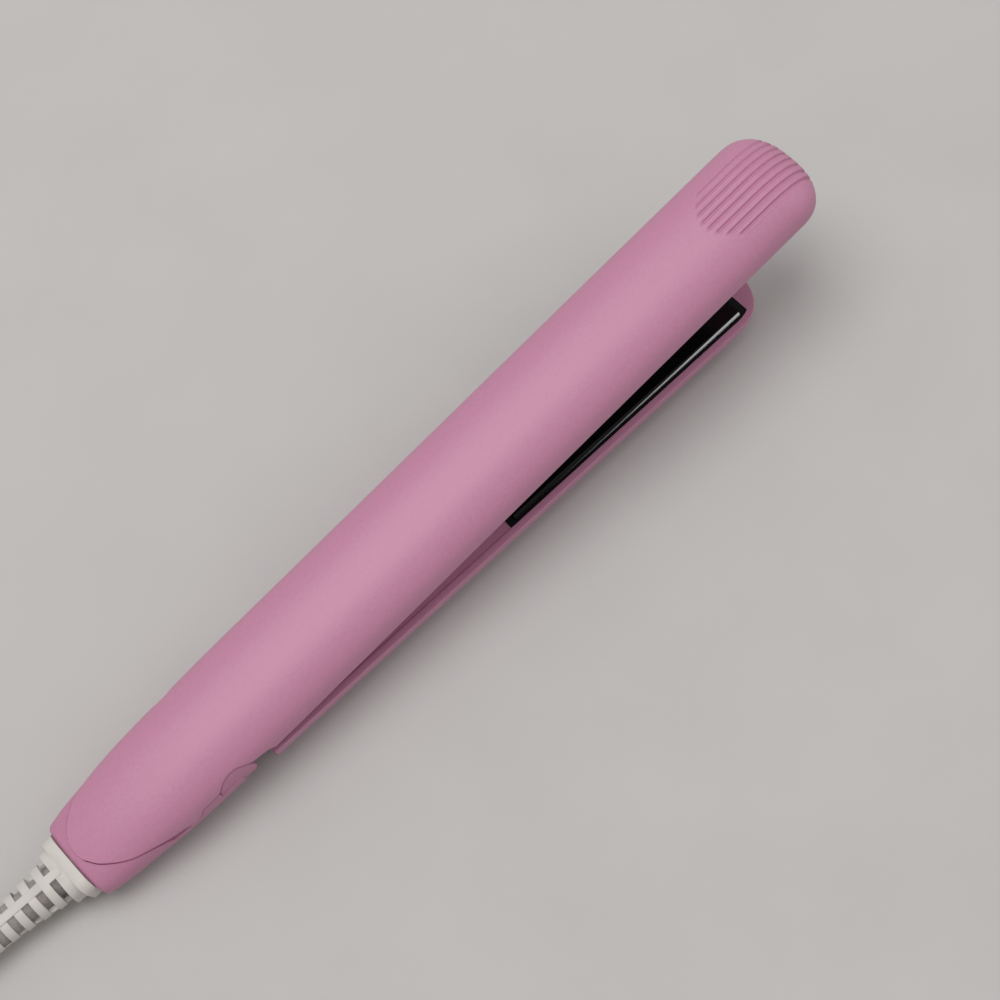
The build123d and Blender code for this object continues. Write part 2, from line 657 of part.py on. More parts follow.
with BuildPart() as switch_knob:
    with BuildSketch(section(UP, SWITCH_X0)):
        with BuildLine():
            Polyline((-1.1, -0.4), (1.1, -0.4), (1.1, 3.2), (-1.1, 3.2), (-1.1, -0.4))
        make_face()
    extrude(amount=2.7)
    # finger ridges
    for x in (0.55, 1.35, 2.15):
        with BuildSketch(section(UP, SWITCH_X0 + x - 0.15)):
            with Locations((0, -0.4)):
                Rectangle(2.4, 0.5)
        extrude(amount=0.3, mode=Mode.SUBTRACT)
switch_knob.part.label = "switch_knob"
export_step(switch_knob.part, "parts/switch_knob.step")

with BuildPart() as indicator_lamp:
    with BuildSketch(side(UP, 0)):
        with BuildLine():
            Polyline((75.0, 0.05), (75.9, 0.25), (76.4, 0.75), (76.45, 1.8), (76.9, 1.8), (76.9, 2.7), (75.0, 2.7), (75.0, 0.05))
        make_face()
    revolve(axis=Axis(at(UP, 75.0, 0, 0), UP.z_dir))
    for x in (74.4, 75.6):
        with BuildSketch(plan(UP, 2.6)):
            with Locations((x, 0)):
                Circle(0.25)
        extrude(amount=2.4)
indicator_lamp.part.label = "indicator_lamp"
export_step(indicator_lamp.part, "parts/indicator_lamp.step")


# ---------------------------------------------------------------- wires
def wire(base, points, radius, bends):
    with BuildPart() as tube:
        with BuildLine() as route:
            FilletPolyline(*[at(base, *p) for p in points], radius=bends)
        with BuildSketch(Plane(origin=route.line @ 0, z_dir=route.line % 0)):
            Circle(radius)
        sweep(path=route.line)
    return tube.part


live_in = wire(UP, [(14.0, 1.1, 0.6), (19.0, 1.4, 1.6), (25.0, 2.6, 2.9), (38.0, 2.7, 3.2), (45.0, 5.3, 3.1), (53.0, 5.2, 3.3), (57.3, 2.6, 3.9)], 0.7, 3.0)
live_out = wire(UP, [(70.7, 2.2, 4.0), (76.0, 3.6, 3.8), (84.4, 3.4, 3.0)], 0.7, 3.0)
neutral = wire(UP, [(14.0, -1.1, 0.6), (19.0, -1.4, 1.6), (25.0, -2.6, 2.9), (38.0, -2.7, 3.2), (45.0, -5.3, 3.1), (70.0, -4.9, 3.0), (96.8, -3.4, 2.9)], 0.7, 3.0)
with BuildPart() as power_wires:
    add(live_in)
    add(live_out)
    add(neutral)
power_wires.part.label = "power_wires"
export_step(power_wires.part, "parts/power_wires.step")

with BuildPart() as thermal_fuse:
    with BuildSketch(Plane(origin=at(UP, 86.0, 3.4, 2.9), x_dir=UP.y_dir, z_dir=UP.x_dir)):
        Circle(1.2)
    extrude(amount=8.5)
    with BuildSketch(Plane(origin=at(UP, 84.5, 3.4, 2.9), x_dir=UP.y_dir, z_dir=UP.x_dir)):
        Circle(0.35)
    extrude(amount=12.4)
thermal_fuse.part.label = "thermal_fuse"
export_step(thermal_fuse.part, "parts/thermal_fuse.step")

# from the tail between the lugs into the mouth of the lower arm, clear of it over the whole travel
jumper_a = wire(UP, [(14.0, 1.2, -1.0), (20.0, 2.0, -3.4), (28.0, 2.2, -4.2), (43.0, 2.2, -5.6)], 0.7, 3.0)
jumper_b = wire(UP, [(14.0, -1.2, -1.0), (20.0, -2.0, -3.4), (28.0, -2.2, -4.2), (43.0, -2.2, -5.6)], 0.7, 3.0)
with BuildPart() as hinge_wires:
    add(jumper_a)
    add(jumper_b)
hinge_wires.part.label = "hinge_wires"
export_step(hinge_wires.part, "parts/hinge_wires.step")

lower_a = wire(LM, [(45.4, 4.8, 5.2), (54.0, 5.0, 5.0), (70.0, 4.6, 3.2), (96.8, 3.4, 2.9)], 0.7, 3.0)
lower_b = wire(LM, [(45.4, -4.8, 5.2), (54.0, -5.0, 5.0), (70.0, -4.6, 3.2), (96.8, -3.4, 2.9)], 0.7, 3.0)
with BuildPart() as lower_wires:
    add(lower_a)
    add(lower_b)
lower_wires.part.label = "lower_wires"
export_step(lower_wires.part, "parts/lower_wires.step")

# ---------------------------------------------------------------- strain relief
TURN = radians(RELIEF_TURN)
RELIEF_O = at(UP, -2.3, 0, 0)
RX = Vector(-cos(TURN), sin(TURN), 0)
SR = Plane(origin=RELIEF_O, x_dir=RX, z_dir=(0, 0, 1))     # x outwards along the ladder


def relief_half(x):
    """Half width and half height of the ladder at x from the flange."""
    w = 5.2 - 1.5 * min(x, 13) / 13 - 0.35 * max(x - 13, 0) / 17
    return w, 0.82 * w + 0.1


with BuildPart() as strain_relief:
    # flange against the tail and the neck through its end wall
    with BuildSketch(section(UP, -2.3)):
        RectangleRounded(13.8, 8.4, 2.6)
    extrude(amount=2.2)
    with BuildSketch(section(UP, -0.2)):
        Circle(3.2)
    extrude(amount=2.6)
    with BuildSketch(section(UP, 2.25)):
        RectangleRounded(9.6, 5.9, 1.8)
    extrude(amount=1.2)
    # stepped shoulder
    with BuildSketch(Plane(origin=RELIEF_O - RX * 0.6, x_dir=SR.y_dir, z_dir=RX)):
        RectangleRounded(11.4, 8.0, 3.0)
    extrude(amount=3.0)
    # inner sleeve round the cord
    with BuildSketch(Plane(origin=RELIEF_O, x_dir=SR.y_dir, z_dir=RX)):
        Circle(3.1)
    extrude(amount=RELIEF_L)
    # cross ribs, and a spine along the top and the bottom
    for k in range(8):
        x = 3.9 + k * 3.42
        w, h = relief_half(x)
        with BuildSketch(Plane(origin=RELIEF_O + RX * x, x_dir=SR.y_dir, z_dir=RX)):
            RectangleRounded(2 * w, 2 * h, 0.98 * h)
        extrude(amount=1.7)
    w0, h0 = relief_half(2)
    w1, h1 = relief_half(RELIEF_L)
    for s in (1, -1):
        with BuildSketch(Plane(origin=RELIEF_O + RX * 0.0, x_dir=RX, z_dir=SR.y_dir)):
            with BuildLine():
                Polyline((1.0, s * -2.7), (1.0, s * -h0), (13.0, s * -relief_half(13)[1] - s * 0.3), (RELIEF_L - 0.2, s * -h1 - s * 0.3), (RELIEF_L - 0.2, s * -2.7), (1.0, s * -2.7))
            make_face()
        extrude(amount=0.85, both=True)
cord_in_a = Vector(at(UP, 13.6, 0, 0))
EXIT = RELIEF_O + RX * RELIEF_L
with BuildPart() as relief_bore:
    with BuildLine() as bore_route:
        FilletPolyline(cord_in_a, RELIEF_O, EXIT + RX, radius=25.0)
    with BuildSketch(Plane(origin=bore_route.line @ 0, z_dir=bore_route.line % 0)):
        Circle(CORD_R + 0.03)
    sweep(path=bore_route.line)
with BuildPart() as strain_relief_bored:
    add(strain_relief.part)
    add(relief_bore.part, mode=Mode.SUBTRACT)
strain_relief_bored.part.label = "strain_relief"
export_step(strain_relief_bored.part, "parts/strain_relief.step")

# cord inside the tail and the strain relief, up to where it leaves it
with BuildPart() as cord_inner:
    with BuildLine() as inner_route:
        FilletPolyline(cord_in_a, RELIEF_O, EXIT, radius=25.0)
    with BuildSketch(Plane(origin=inner_route.line @ 0, z_dir=inner_route.line % 0)):
        Circle(CORD_R)
    sweep(path=inner_route.line)
cord_inner.part.label = "cord_inner"
export_step(cord_inner.part, "parts/cord_inner.step")

# clamp over the cord inside the tail, held by two screws
with BuildPart() as cord_clamp:
    with BuildSketch(section(UP, 7.0)):
        with Locations((0, 0.95)):
            Rectangle(10.8, 3.9)
        Circle(CORD_R + 0.02, mode=Mode.SUBTRACT)
        with Locations((0, -1.5)):
            Rectangle(5.0, 3.0, mode=Mode.SUBTRACT)
    extrude(amount=4.6)
    with BuildSketch(plan(UP, 5)):
        with Locations((9.3, 4.0), (9.3, -4.0)):
            Circle(0.95)
    extrude(amount=-8, mode=Mode.SUBTRACT)
cord_clamp.part.label = "cord_clamp"
export_step(cord_clamp.part, "parts/cord_clamp.step")

with BuildPart() as clamp_screws:
    for y in (4.0, -4.0):
        with BuildSketch(plan(UP, 2.95)):
            with Locations((9.3, y)):
                Circle(1.3)
        extrude(amount=0.7)
        with BuildSketch(plan(UP, 3.0)):
            with Locations((9.3, y)):
                Circle(0.8)
        extrude(amount=-7.1)
clamp_screws.part.label = "clamp_screws"
export_step(clamp_screws.part, "parts/clamp_screws.step")

# ---------------------------------------------------------------- free cord
NEAR_X, HANK_Y = -150.0, -12.4   # middle of the hank's fold next to the object


def bend_radii(points, name):
    """Arc at each point of the route as large as its two runs allow."""
    out = []
    for p, q, r in zip(points, points[1:], points[2:]):
        a, b = q - p, r - q
        turn = radians(a.get_angle(b))
        out.append(0.45 * min(a.length, b.length) / tan(turn / 2))
    print(name, "runs", [round((b - a).length, 1) for a, b in zip(points, points[1:])], "radii", [round(v, 1) for v in out])
    return out


def cord_tube(points, name):
    pts = [Vector(*p) for p in points]
    with BuildPart() as tube:
        with BuildLine() as route:
            FilletPolyline(*pts, radius=bend_radii(pts, name))
        with BuildSketch(Plane(origin=route.line @ 0, z_dir=route.line % 0)):
            Circle(CORD_R)
        sweep(path=route.line)
    length = sum(edge.length for edge in route.line.edges())
    print(name, "volume over section times length", round(tube.part.volume / (pi * CORD_R ** 2 * length), 4), "length", round(length, 1))
    return tube


LEAD = [
    EXIT,
    EXIT + RX * 9.0,
    Vector(-130.6, 3.0, 3.6),
    Vector(-139.5, 5.9, 3.1),
    Vector(-148.5, HANK_Y + LANE_OUT, 3.1),
]
END = [
    Vector(-150.5, HANK_Y + LANE_IN, 13.3),
    Vector(-158.0, HANK_Y + LANE_IN, 13.3),
    Vector(-166.6, -0.15, 12.9),
    Vector(-174.6, -6.6, 9.6),
    Vector(-183.0, -9.9, 6.8),
    Vector(-191.5, -9.9, 6.8),
]
# outer shape of the put-away turns
with BuildPart() as cord_hank:
    with BuildSketch(Plane.XY.offset(TIE_T)):
        with Locations((NEAR_X - HANK_L / 2, HANK_Y)):
            SlotCenterToCenter(HANK_L, 2 * (LANE_OUT + CORD_R + 0.1))
            SlotCenterToCenter(HANK_L, 2 * (LANE_IN - CORD_R - 0.1), mode=Mode.SUBTRACT)
    extrude(amount=HANK_T)
    fillet(cord_hank.faces().sort_by(Axis.Z)[0].edges() + cord_hank.faces().sort_by(Axis.Z)[-1].edges(), 2.4)
cord_hank.part.label = "cord_hank"
export_step(cord_hank.part, "parts/cord_hank.step")

lead_tube = cord_tube(LEAD, "cord")
with BuildPart() as cord:
    add(lead_tube.part)
    add(cord_hank.part, mode=Mode.SUBTRACT)
cord.part.label = "cord"
export_step(cord.part, "parts/cord.step")

# band round the turns on one side of the hank
LANES_MID = HANK_Y + (LANE_IN + LANE_OUT) / 2
LANES_W = LANE_OUT - LANE_IN + 2 * CORD_R + 0.2
with BuildPart() as cord_tie:
    with BuildSketch(Plane(origin=(NEAR_X - 28.0, LANES_MID, TIE_T + HANK_T / 2), x_dir=(0, 1, 0), z_dir=(1, 0, 0))):
        RectangleRounded(LANES_W + 2 * TIE_T, HANK_T + 2 * TIE_T, 3.0)
    extrude(amount=4.5, both=True)
    add(cord_hank.part, mode=Mode.SUBTRACT)
cord_tie.part.label = "cord_tie"
export_step(cord_tie.part, "parts/cord_tie.step")

# plug, lying inside the loop of the hank
PD = Plane(origin=END[-1], x_dir=(0, 1, 0), z_dir=(-1, 0, 0))   # z along the plug, towards its blades
end_tube = cord_tube(END, "cord_end")
with BuildPart() as cord_end:
    add(end_tube.part)
    add(cord_hank.part, mode=Mode.SUBTRACT)
cord_end.part.label = "cord_end"
export_step(cord_end.part, "parts/cord_end.step")

with BuildPart() as plug_body:
    # tapered sleeve, then the moulded grip
    with BuildSketch(PD):
        Circle(3.3)
    with BuildSketch(PD.offset(8.0)):
        Circle(4.4)
    loft()
    with BuildSketch(PD.offset(7.0)):
        RectangleRounded(11.0, 9.0, 3.0)
    with BuildSketch(PD.offset(13.0)):
        RectangleRounded(18.0, 13.0, 4.0)
    loft()
    with BuildSketch(PD.offset(13.0)):
        RectangleRounded(18.0, 13.0, 4.0)
    extrude(amount=11.0)
    with BuildSketch(PD.offset(20.5)):
        RectangleRounded(19.5, 13.3, 4.0)
    extrude(amount=3.5)
    with BuildSketch(PD.offset(24.1)):
        with Locations((6.35, 0), (-6.35, 0)):
            Rectangle(1.5, 6.3)
    extrude(amount=-8.0, mode=Mode.SUBTRACT)
plug_body.part.label = "plug_body"
export_step(plug_body.part, "parts/plug_body.step")

with BuildPart() as plug_blades:
    with BuildSketch(PD.offset(16.2)):
        with Locations((6.35, 0), (-6.35, 0)):
            Rectangle(1.5, 6.3)
    extrude(amount=7.8 + 16.0)
    chamfer(plug_blades.faces().sort_by(Axis.X)[0:2].edges().filter_by(Axis.Z), 0.4)
    with BuildSketch(Plane(origin=at(PD, 0, 0, 35.5), x_dir=(1, 0, 0), z_dir=(0, 1, 0))):
        Circle(1.6)
    extrude(amount=12, both=True, mode=Mode.SUBTRACT)
plug_blades.part.label = "plug_blades"
export_step(plug_blades.part, "parts/plug_blades.step")

print("middle x", round(X_MID, 3), "exit", [round(v, 3) for v in EXIT], "relief origin", [round(v, 3) for v in RELIEF_O])
print("hinge", [round(v, 3) for v in HINGE])
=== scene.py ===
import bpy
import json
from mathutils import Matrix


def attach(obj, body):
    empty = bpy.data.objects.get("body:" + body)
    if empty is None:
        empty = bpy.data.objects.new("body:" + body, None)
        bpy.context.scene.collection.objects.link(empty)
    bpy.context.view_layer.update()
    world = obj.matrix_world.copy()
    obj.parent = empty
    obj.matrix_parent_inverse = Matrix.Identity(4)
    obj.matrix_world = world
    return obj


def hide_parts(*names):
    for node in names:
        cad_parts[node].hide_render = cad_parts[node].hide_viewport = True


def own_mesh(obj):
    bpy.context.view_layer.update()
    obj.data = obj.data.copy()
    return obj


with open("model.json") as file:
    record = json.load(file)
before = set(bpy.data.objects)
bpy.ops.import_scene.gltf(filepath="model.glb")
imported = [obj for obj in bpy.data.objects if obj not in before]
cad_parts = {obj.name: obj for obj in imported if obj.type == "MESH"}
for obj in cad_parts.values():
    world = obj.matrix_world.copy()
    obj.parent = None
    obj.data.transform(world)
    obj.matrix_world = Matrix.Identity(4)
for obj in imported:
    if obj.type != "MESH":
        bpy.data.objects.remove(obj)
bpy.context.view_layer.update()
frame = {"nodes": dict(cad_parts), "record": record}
import json
import math
import bmesh
import bpy
import numpy as np
from mathutils import Matrix, Vector

# ------------------------------------------------------------------ frames, millimetres to metres
MID = 80.719
HINGE_X, HINGE_Z = 32.5, -0.6
TILT = math.radians(7.6)
C, S = math.cos(TILT), math.sin(TILT)


def up(x, y, z):
    """Upper arm: x from the tail end, y to the left, z up from its rim."""
    dx, dz = x - HINGE_X, z - HINGE_Z
    return ((HINGE_X - MID + dx * C - dz * S) / 1000, y / 1000, (9.6 + dx * S + dz * C) / 1000)


def lo(x, y, z):
    """Closed pair of arms, the lower one stays here."""
    return ((x - MID) / 1000, y / 1000, (z + 10.2) / 1000)


def lm(x, y, z):
    """Lower arm: z from its rim into the arm."""
    return lo(x, y, -1.2 - z)


def turn(v):
    return Vector((v[0] * C - v[2] * S, v[1], v[0] * S + v[2] * C))


# ------------------------------------------------------------------ camera
cam_data = bpy.data.cameras.new("camera")
cam = bpy.data.objects.new("camera", cam_data)
bpy.context.scene.collection.objects.link(cam)
cam_data.sensor_width = 36.0
cam_data.lens = 64.8
cam_data.clip_start = 0.01
cam_data.clip_end = 20.0
right = turn((0.70913306, -0.68704282, -0.15843757))
upward = turn((0.69888067, 0.65520699, 0.28682679))
back = turn((-0.09325289, -0.31412732, 0.94478989))
place = Vector(up(72.866, -117.320, 329.543))
cam.matrix_world = Matrix(((right.x, upward.x, back.x, place.x), (right.y, upward.y, back.y, place.y), (right.z, upward.z, back.z, place.z), (0, 0, 0, 1)))
bpy.context.scene.camera = cam
bpy.context.scene.view_settings.view_transform = "Standard"


# ------------------------------------------------------------------ cord: lead, put-away turns, end to the plug
LEAD = [(-112.774, 1.047, 5.592), (-121.769, 1.361, 5.592), (-130.6, 3.0, 3.6), (-139.5, 5.9, 3.1), (-148.5, 8.2, 3.1)]
END = [(-150.5, 3.0, 13.3), (-158.0, 3.0, 13.3), (-166.6, -0.15, 12.9), (-174.6, -6.6, 9.6), (-183.0, -9.9, 6.8), (-191.5, -9.9, 6.8)]
NEAR_X, HANK_Y, HANK_L, FOLD_L = -150.0, -12.4, 74.0, 56.5
TURN_L = 2 * (HANK_L + FOLD_L)
# where each turn lies: fold radius, height; and the part of the turn over which it goes to the next one
LANES = [(20.6, 3.1), (15.4, 3.1), (15.4, 8.2), (20.6, 8.2), (20.6, 13.3), (15.4, 13.3)]
ZONES = [(195, 235), (165, 195), (135, 165), (105, 135), (70, 105)]
PER_TURN = 32


def ease(t):
    t = min(1.0, max(0.0, t))
    return t * t * (3 - 2 * t)


def hank_plan(p, r):
    """Place in plan after p mm of a turn with fold radius r."""
    if p < HANK_L:
        return NEAR_X - p, HANK_Y + r
    if p < HANK_L + FOLD_L:
        a = math.pi * (p - HANK_L) / FOLD_L
        return NEAR_X - HANK_L - r * math.sin(a), HANK_Y + r * math.cos(a)
    if p < 2 * HANK_L + FOLD_L:
        return NEAR_X - HANK_L + (p - HANK_L - FOLD_L), HANK_Y - r
    a = math.pi * (p - 2 * HANK_L - FOLD_L) / FOLD_L
    return NEAR_X + r * math.sin(a), HANK_Y - r * math.cos(a)


turns = []
for k in range(5):
    (r0, z0), (r1, z1) = LANES[k], LANES[k + 1]
    for i in range(PER_TURN):
        p = TURN_L * (i + 0.8) / PER_TURN
        part = ease((p - ZONES[k][0]) / (ZONES[k][1] - ZONES[k][0]))
        turns.append((*hank_plan(p, r0 + (r1 - r0) * part), z0 + (z1 - z0) * part))
turns.pop()
cord_data = bpy.data.curves.new("power_cord", "CURVE")
cord_data.dimensions = "3D"
spline = cord_data.splines.new("NURBS")
points = LEAD + turns + END
spline.points.add(len(points) - 1)
for point, (x, y, z) in zip(spline.points, points):
    point.co = (x / 1000, y / 1000, z / 1000, 1)
    point.radius = 0.0025
spline.order_u = 3
spline.use_endpoint_u = True
spline.resolution_u = 8
cord_data.bevel_depth = 1.0   # times the points' radius
cord_data.bevel_resolution = 6
cord_data.use_fill_caps = True
power_cord = bpy.data.objects.new("power_cord", cord_data)
bpy.context.scene.collection.objects.link(power_cord)
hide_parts("cord", "cord_hank", "cord_end")
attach(power_cord, "body")


# ------------------------------------------------------------------ materials
def material(name, color, rough=0.5, metallic=0.0, vary=0.05, scale=400.0, bump=0.02, bump_scale=2500.0, bump_dist=0.0001, rough_vary=0.06, coat=0.0, spec=0.5, sheen=0.0):
    m = bpy.data.materials.new(name)
    m.use_nodes = True
    nt = m.node_tree
    bsdf = nt.nodes["Principled BSDF"]
    coord = nt.nodes.new("ShaderNodeTexCoord")
    n1 = nt.nodes.new("ShaderNodeTexNoise")
    n1.inputs["Scale"].default_value = scale
    n1.inputs["Detail"].default_value = 4.0
    nt.links.new(coord.outputs["Object"], n1.inputs["Vector"])
    ramp = nt.nodes.new("ShaderNodeValToRGB")
    ramp.color_ramp.elements[0].position = 0.3
    ramp.color_ramp.elements[1].position = 0.7
    ramp.color_ramp.elements[0].color = (*[c * (1 - vary) for c in color], 1)
    ramp.color_ramp.elements[1].color = (*[min(1, c * (1 + vary)) for c in color], 1)
    nt.links.new(n1.outputs["Fac"], ramp.inputs["Fac"])
    nt.links.new(ramp.outputs["Color"], bsdf.inputs["Base Color"])
    rr = nt.nodes.new("ShaderNodeMapRange")
    rr.inputs["To Min"].default_value = max(0.02, rough - rough_vary)
    rr.inputs["To Max"].default_value = min(1.0, rough + rough_vary)
    nt.links.new(n1.outputs["Fac"], rr.inputs["Value"])
    nt.links.new(rr.outputs["Result"], bsdf.inputs["Roughness"])
    n2 = nt.nodes.new("ShaderNodeTexNoise")
    n2.inputs["Scale"].default_value = bump_scale
    n2.inputs["Detail"].default_value = 3.0
    nt.links.new(coord.outputs["Object"], n2.inputs["Vector"])
    b = nt.nodes.new("ShaderNodeBump")
    b.inputs["Strength"].default_value = bump
    b.inputs["Distance"].default_value = bump_dist
    nt.links.new(n2.outputs["Fac"], b.inputs["Height"])
    nt.links.new(b.outputs["Normal"], bsdf.inputs["Normal"])
    bsdf.inputs["Metallic"].default_value = metallic
    bsdf.inputs["Specular IOR Level"].default_value = spec
    bsdf.inputs["Coat Weight"].default_value = coat
    bsdf.inputs["Sheen Weight"].default_value = sheen
    return m


PINK = (0.505, 0.212, 0.333)
M = {
    "pink_soft_touch": material("pink_soft_touch", PINK, rough=0.43, vary=0.035, scale=1300, bump=0.4, bump_scale=4200, spec=0.5),
    "pink_tail": material("pink_tail", (0.485, 0.198, 0.315), rough=0.45, vary=0.035, scale=1300, bump=0.35, bump_scale=4200, spec=0.5),
    "pink_inner": material("pink_inner", (0.52, 0.215, 0.345), rough=0.55, vary=0.03, scale=1300, bump=0.25, bump_scale=4000, spec=0.35),
    "black_frame": material("black_frame", (0.003, 0.003, 0.0035), rough=0.6, vary=0.2, scale=500, bump=0.2, bump_scale=4000, spec=0.2),
    "plate_coating": material("plate_coating", (0.003, 0.003, 0.0035), rough=0.2, vary=0.2, scale=900, bump=0.05, bump_scale=6000, rough_vary=0.04, spec=0.22),
    "steel": material("steel", (0.55, 0.55, 0.55), rough=0.3, metallic=1.0, scale=700, bump=0.1),
    "spring_steel": material("spring_steel", (0.42, 0.42, 0.43), rough=0.3, metallic=1.0, scale=700, bump=0.05),
    # mottled grey for the white sleeve between the strain relief's ribs: painted shade
    "sleeve_painted_shade": material("sleeve_painted_shade", (0.30, 0.275, 0.26), rough=0.6, vary=0.16, scale=1400, bump=0.3, bump_scale=2500, spec=0.3),
    "white_sleeve": material("white_sleeve", (0.57, 0.535, 0.50), rough=0.5, vary=0.03, scale=300, bump=0.2, bump_scale=3000),
    # the cord's jacket is white; this grey is painted shade, darkened for where the cord shows between the strain
    # relief's ribs
    "white_jacket": material("white_jacket", (0.45, 0.42, 0.39), rough=0.55, vary=0.03, scale=300, bump=0.15, bump_scale=3000),
    "white_plug": material("white_plug", (0.66, 0.63, 0.58), rough=0.35, vary=0.02, scale=300, bump=0.1, bump_scale=3000),
    "plug_brass": material("plug_brass", (0.62, 0.55, 0.40), rough=0.25, metallic=1.0, scale=500, bump=0.05),
    "nylon_natural": material("nylon_natural", (0.62, 0.60, 0.54), rough=0.5, scale=400),
    "switch_black": material("switch_black", (0.012, 0.012, 0.013), rough=0.45, scale=400),
    "switch_knob": material("switch_knob", (0.58, 0.56, 0.53), rough=0.45, scale=400),
    "lamp_red": material("lamp_red", (0.45, 0.02, 0.015), rough=0.2, scale=400),
    "heater_foil": material("heater_foil", (0.40, 0.20, 0.05), rough=0.25, scale=300, coat=0.5),
    "mica": material("mica", (0.45, 0.38, 0.26), rough=0.4, vary=0.12, scale=500),
    "wire_silicone": material("wire_silicone", (0.55, 0.53, 0.48), rough=0.5, scale=400),
    "fuse_metal": material("fuse_metal", (0.55, 0.55, 0.53), rough=0.3, metallic=1.0, scale=400),
    "pom": material("pom", (0.66, 0.65, 0.60), rough=0.4, scale=400),
}


def paint(obj, key):
    obj.data.materials.clear()
    obj.data.materials.append(M[key])


for row in frame["record"]["subparts"]:
    paint(frame["nodes"][row["node"]], row["material_slot"])

# ------------------------------------------------------------------ outlines of the shells
HALF, UP_DEPTH, LENGTH = 11.5, 8.0, 195.0
LO_START, LO_END, LO_DEPTH = 41.0, 178.0, 9.0


def smooth_curve(points):
    """Monotone cubic through the points."""
    x, y = np.array(points, float).T
    h, d = np.diff(x), np.diff(y) / np.diff(x)
    m = np.zeros(len(x))
    m[0], m[-1] = d[0], d[-1]
    for i in range(1, len(x) - 1):
        if d[i - 1] * d[i] > 0:
            w1, w2 = 2 * h[i] + h[i - 1], h[i] + 2 * h[i - 1]
            m[i] = (w1 + w2) / (w1 / d[i - 1] + w2 / d[i])

    def f(q):
        q = np.clip(np.asarray(q, float), x[0], x[-1])
        i = np.clip(np.searchsorted(x, q, side="right") - 1, 0, len(x) - 2)
        t = (q - x[i]) / h[i]
        return (2 * t**3 - 3 * t**2 + 1) * y[i] + (t**3 - 2 * t**2 + t) * h[i] * m[i] + (3 * t**2 - 2 * t**3) * y[i + 1] + (t**3 - t**2) * h[i] * m[i + 1]

    return f


tail_w = smooth_curve([(0, 8.75), (5, 9.6), (10, 10.05), (15, 10.5), (20, 10.9), (26, 11.1), (33, 11.25), (40, 11.42), (46, 11.5)])
tail_top = smooth_curve([(0, 4.7), (5, 5.8), (10, 6.6), (15, 7.2), (20, 7.6), (26, 7.88), (33, 8.0), (46, 8.0)])
tail_bottom = smooth_curve([(0, 5.0), (5, 5.85), (10, 6.65), (15, 7.35), (20, 8.0), (26, 8.65), (33, 9.15), (40, 9.35)])
U_EDGE = [(1.75, 0.0), (1.9, 1.8), (2.5, 3.1), (3.6, 4.8), (5.2, 6.3), (7.0, 7.6), (9.2, 8.7), (11.6, 9.4), (14.0, 10.0), (17.0, 10.55), (20.5, 10.95), (23.2, 11.3), (24.6, 11.9)]
u_half = smooth_curve(U_EDGE)
u_x = smooth_curve([(y, x) for x, y in U_EDGE])
arch_z = smooth_curve([(22.4, 0.0), (22.9, 0.45), (24.5, 1.8), (27.0, 1.75), (28.0, 1.85), (28.6, 2.1), (29.2, 2.75), (30.0, 3.4), (31.0, 3.87), (32.5, 4.15), (33.6, 4.1), (36.9, 2.3), (40.9, 1.2), (41.8, 0.0)])


def fall(q, start, length, n):
    """Share of the full size left at q, where the form rounds off from start to its end."""
    t = np.clip((q - start) / length, 0, 1)
    return (1 - t**n) ** (1 / n)


def up_width(x):
    return np.where(x < 46, tail_w(x), HALF) * fall(x, LENGTH - 9.0, 9.0, 2.4)


def up_height(x):
    return np.where(x < 46, tail_top(x), UP_DEPTH) * fall(x, LENGTH - 14.0, 14.0, 2.3)


def lo_width(x):
    return HALF * fall(x, LO_END - 9.0, 9.0, 2.4)


def lo_height(x):
    return LO_DEPTH * fall(x, LO_END - 14.0, 14.0, 2.3)


def even(points, n, trim=0.0):
    """n points evenly spaced along a dense line, which loses trim at each end."""
    seg = np.linalg.norm(np.diff(points, axis=0), axis=1)
    s = np.concatenate([[0], np.cumsum(seg)])
    trim = min(trim, s[-1] * 0.3)
    q = np.linspace(trim, s[-1] - trim, n)
    return np.stack([np.interp(q, s, points[:, k]) for k in range(3)], 1)


def rounded(a, corner, b, n=3):
    """Points between a and b on a curve that bends at the corner, both ends left out."""
    t = np.linspace(0, 1, n + 2)[1:-1, None]
    return (1 - t) ** 2 * a + 2 * t * (1 - t) * corner + t**2 * b


def step_to(a, b, dist):
    d = b - a
    length = np.linalg.norm(d)
    return a + d * (min(dist, length * 0.4) / max(length, 1e-9))


def ring_mesh(name, rings, frame_of, sharp=40.0, caps=False):
    """Mesh from closed rings of points, all of one count; doubled points are merged."""
    rings = np.array(rings, float)
    n, m = rings.shape[:2]
    flat = rings.reshape(-1, 3)
    co = np.array([frame_of(*p) for p in flat])
    faces = []
    for i in range(n - 1):
        a, b = i * m, (i + 1) * m
        for j in range(m):
            k = (j + 1) % m
            faces.append((a + j, a + k, b + k, b + j))
    if caps:
        faces.append(tuple(range(m - 1, -1, -1)))
        faces.append(tuple(range((n - 1) * m, n * m)))
    return make(name, co, faces, sharp)


def make(name, co, faces, sharp=40.0, merge=1e-7):
    mesh = bpy.data.meshes.new(name)
    mesh.from_pydata([tuple(p) for p in co], [], faces)
    b = bmesh.new()
    b.from_mesh(mesh)
    bmesh.ops.remove_doubles(b, verts=b.verts, dist=merge)
    bmesh.ops.dissolve_degenerate(b, edges=b.edges, dist=merge)
    bmesh.ops.recalc_face_normals(b, faces=b.faces)
    b.to_mesh(mesh)
    b.free()
    mesh.polygons.foreach_set("use_smooth", [True] * len(mesh.polygons))
    mesh.set_sharp_from_angle(angle=math.radians(sharp))
    obj = bpy.data.objects.new(name, mesh)
    bpy.context.scene.collection.objects.link(obj)
    return obj


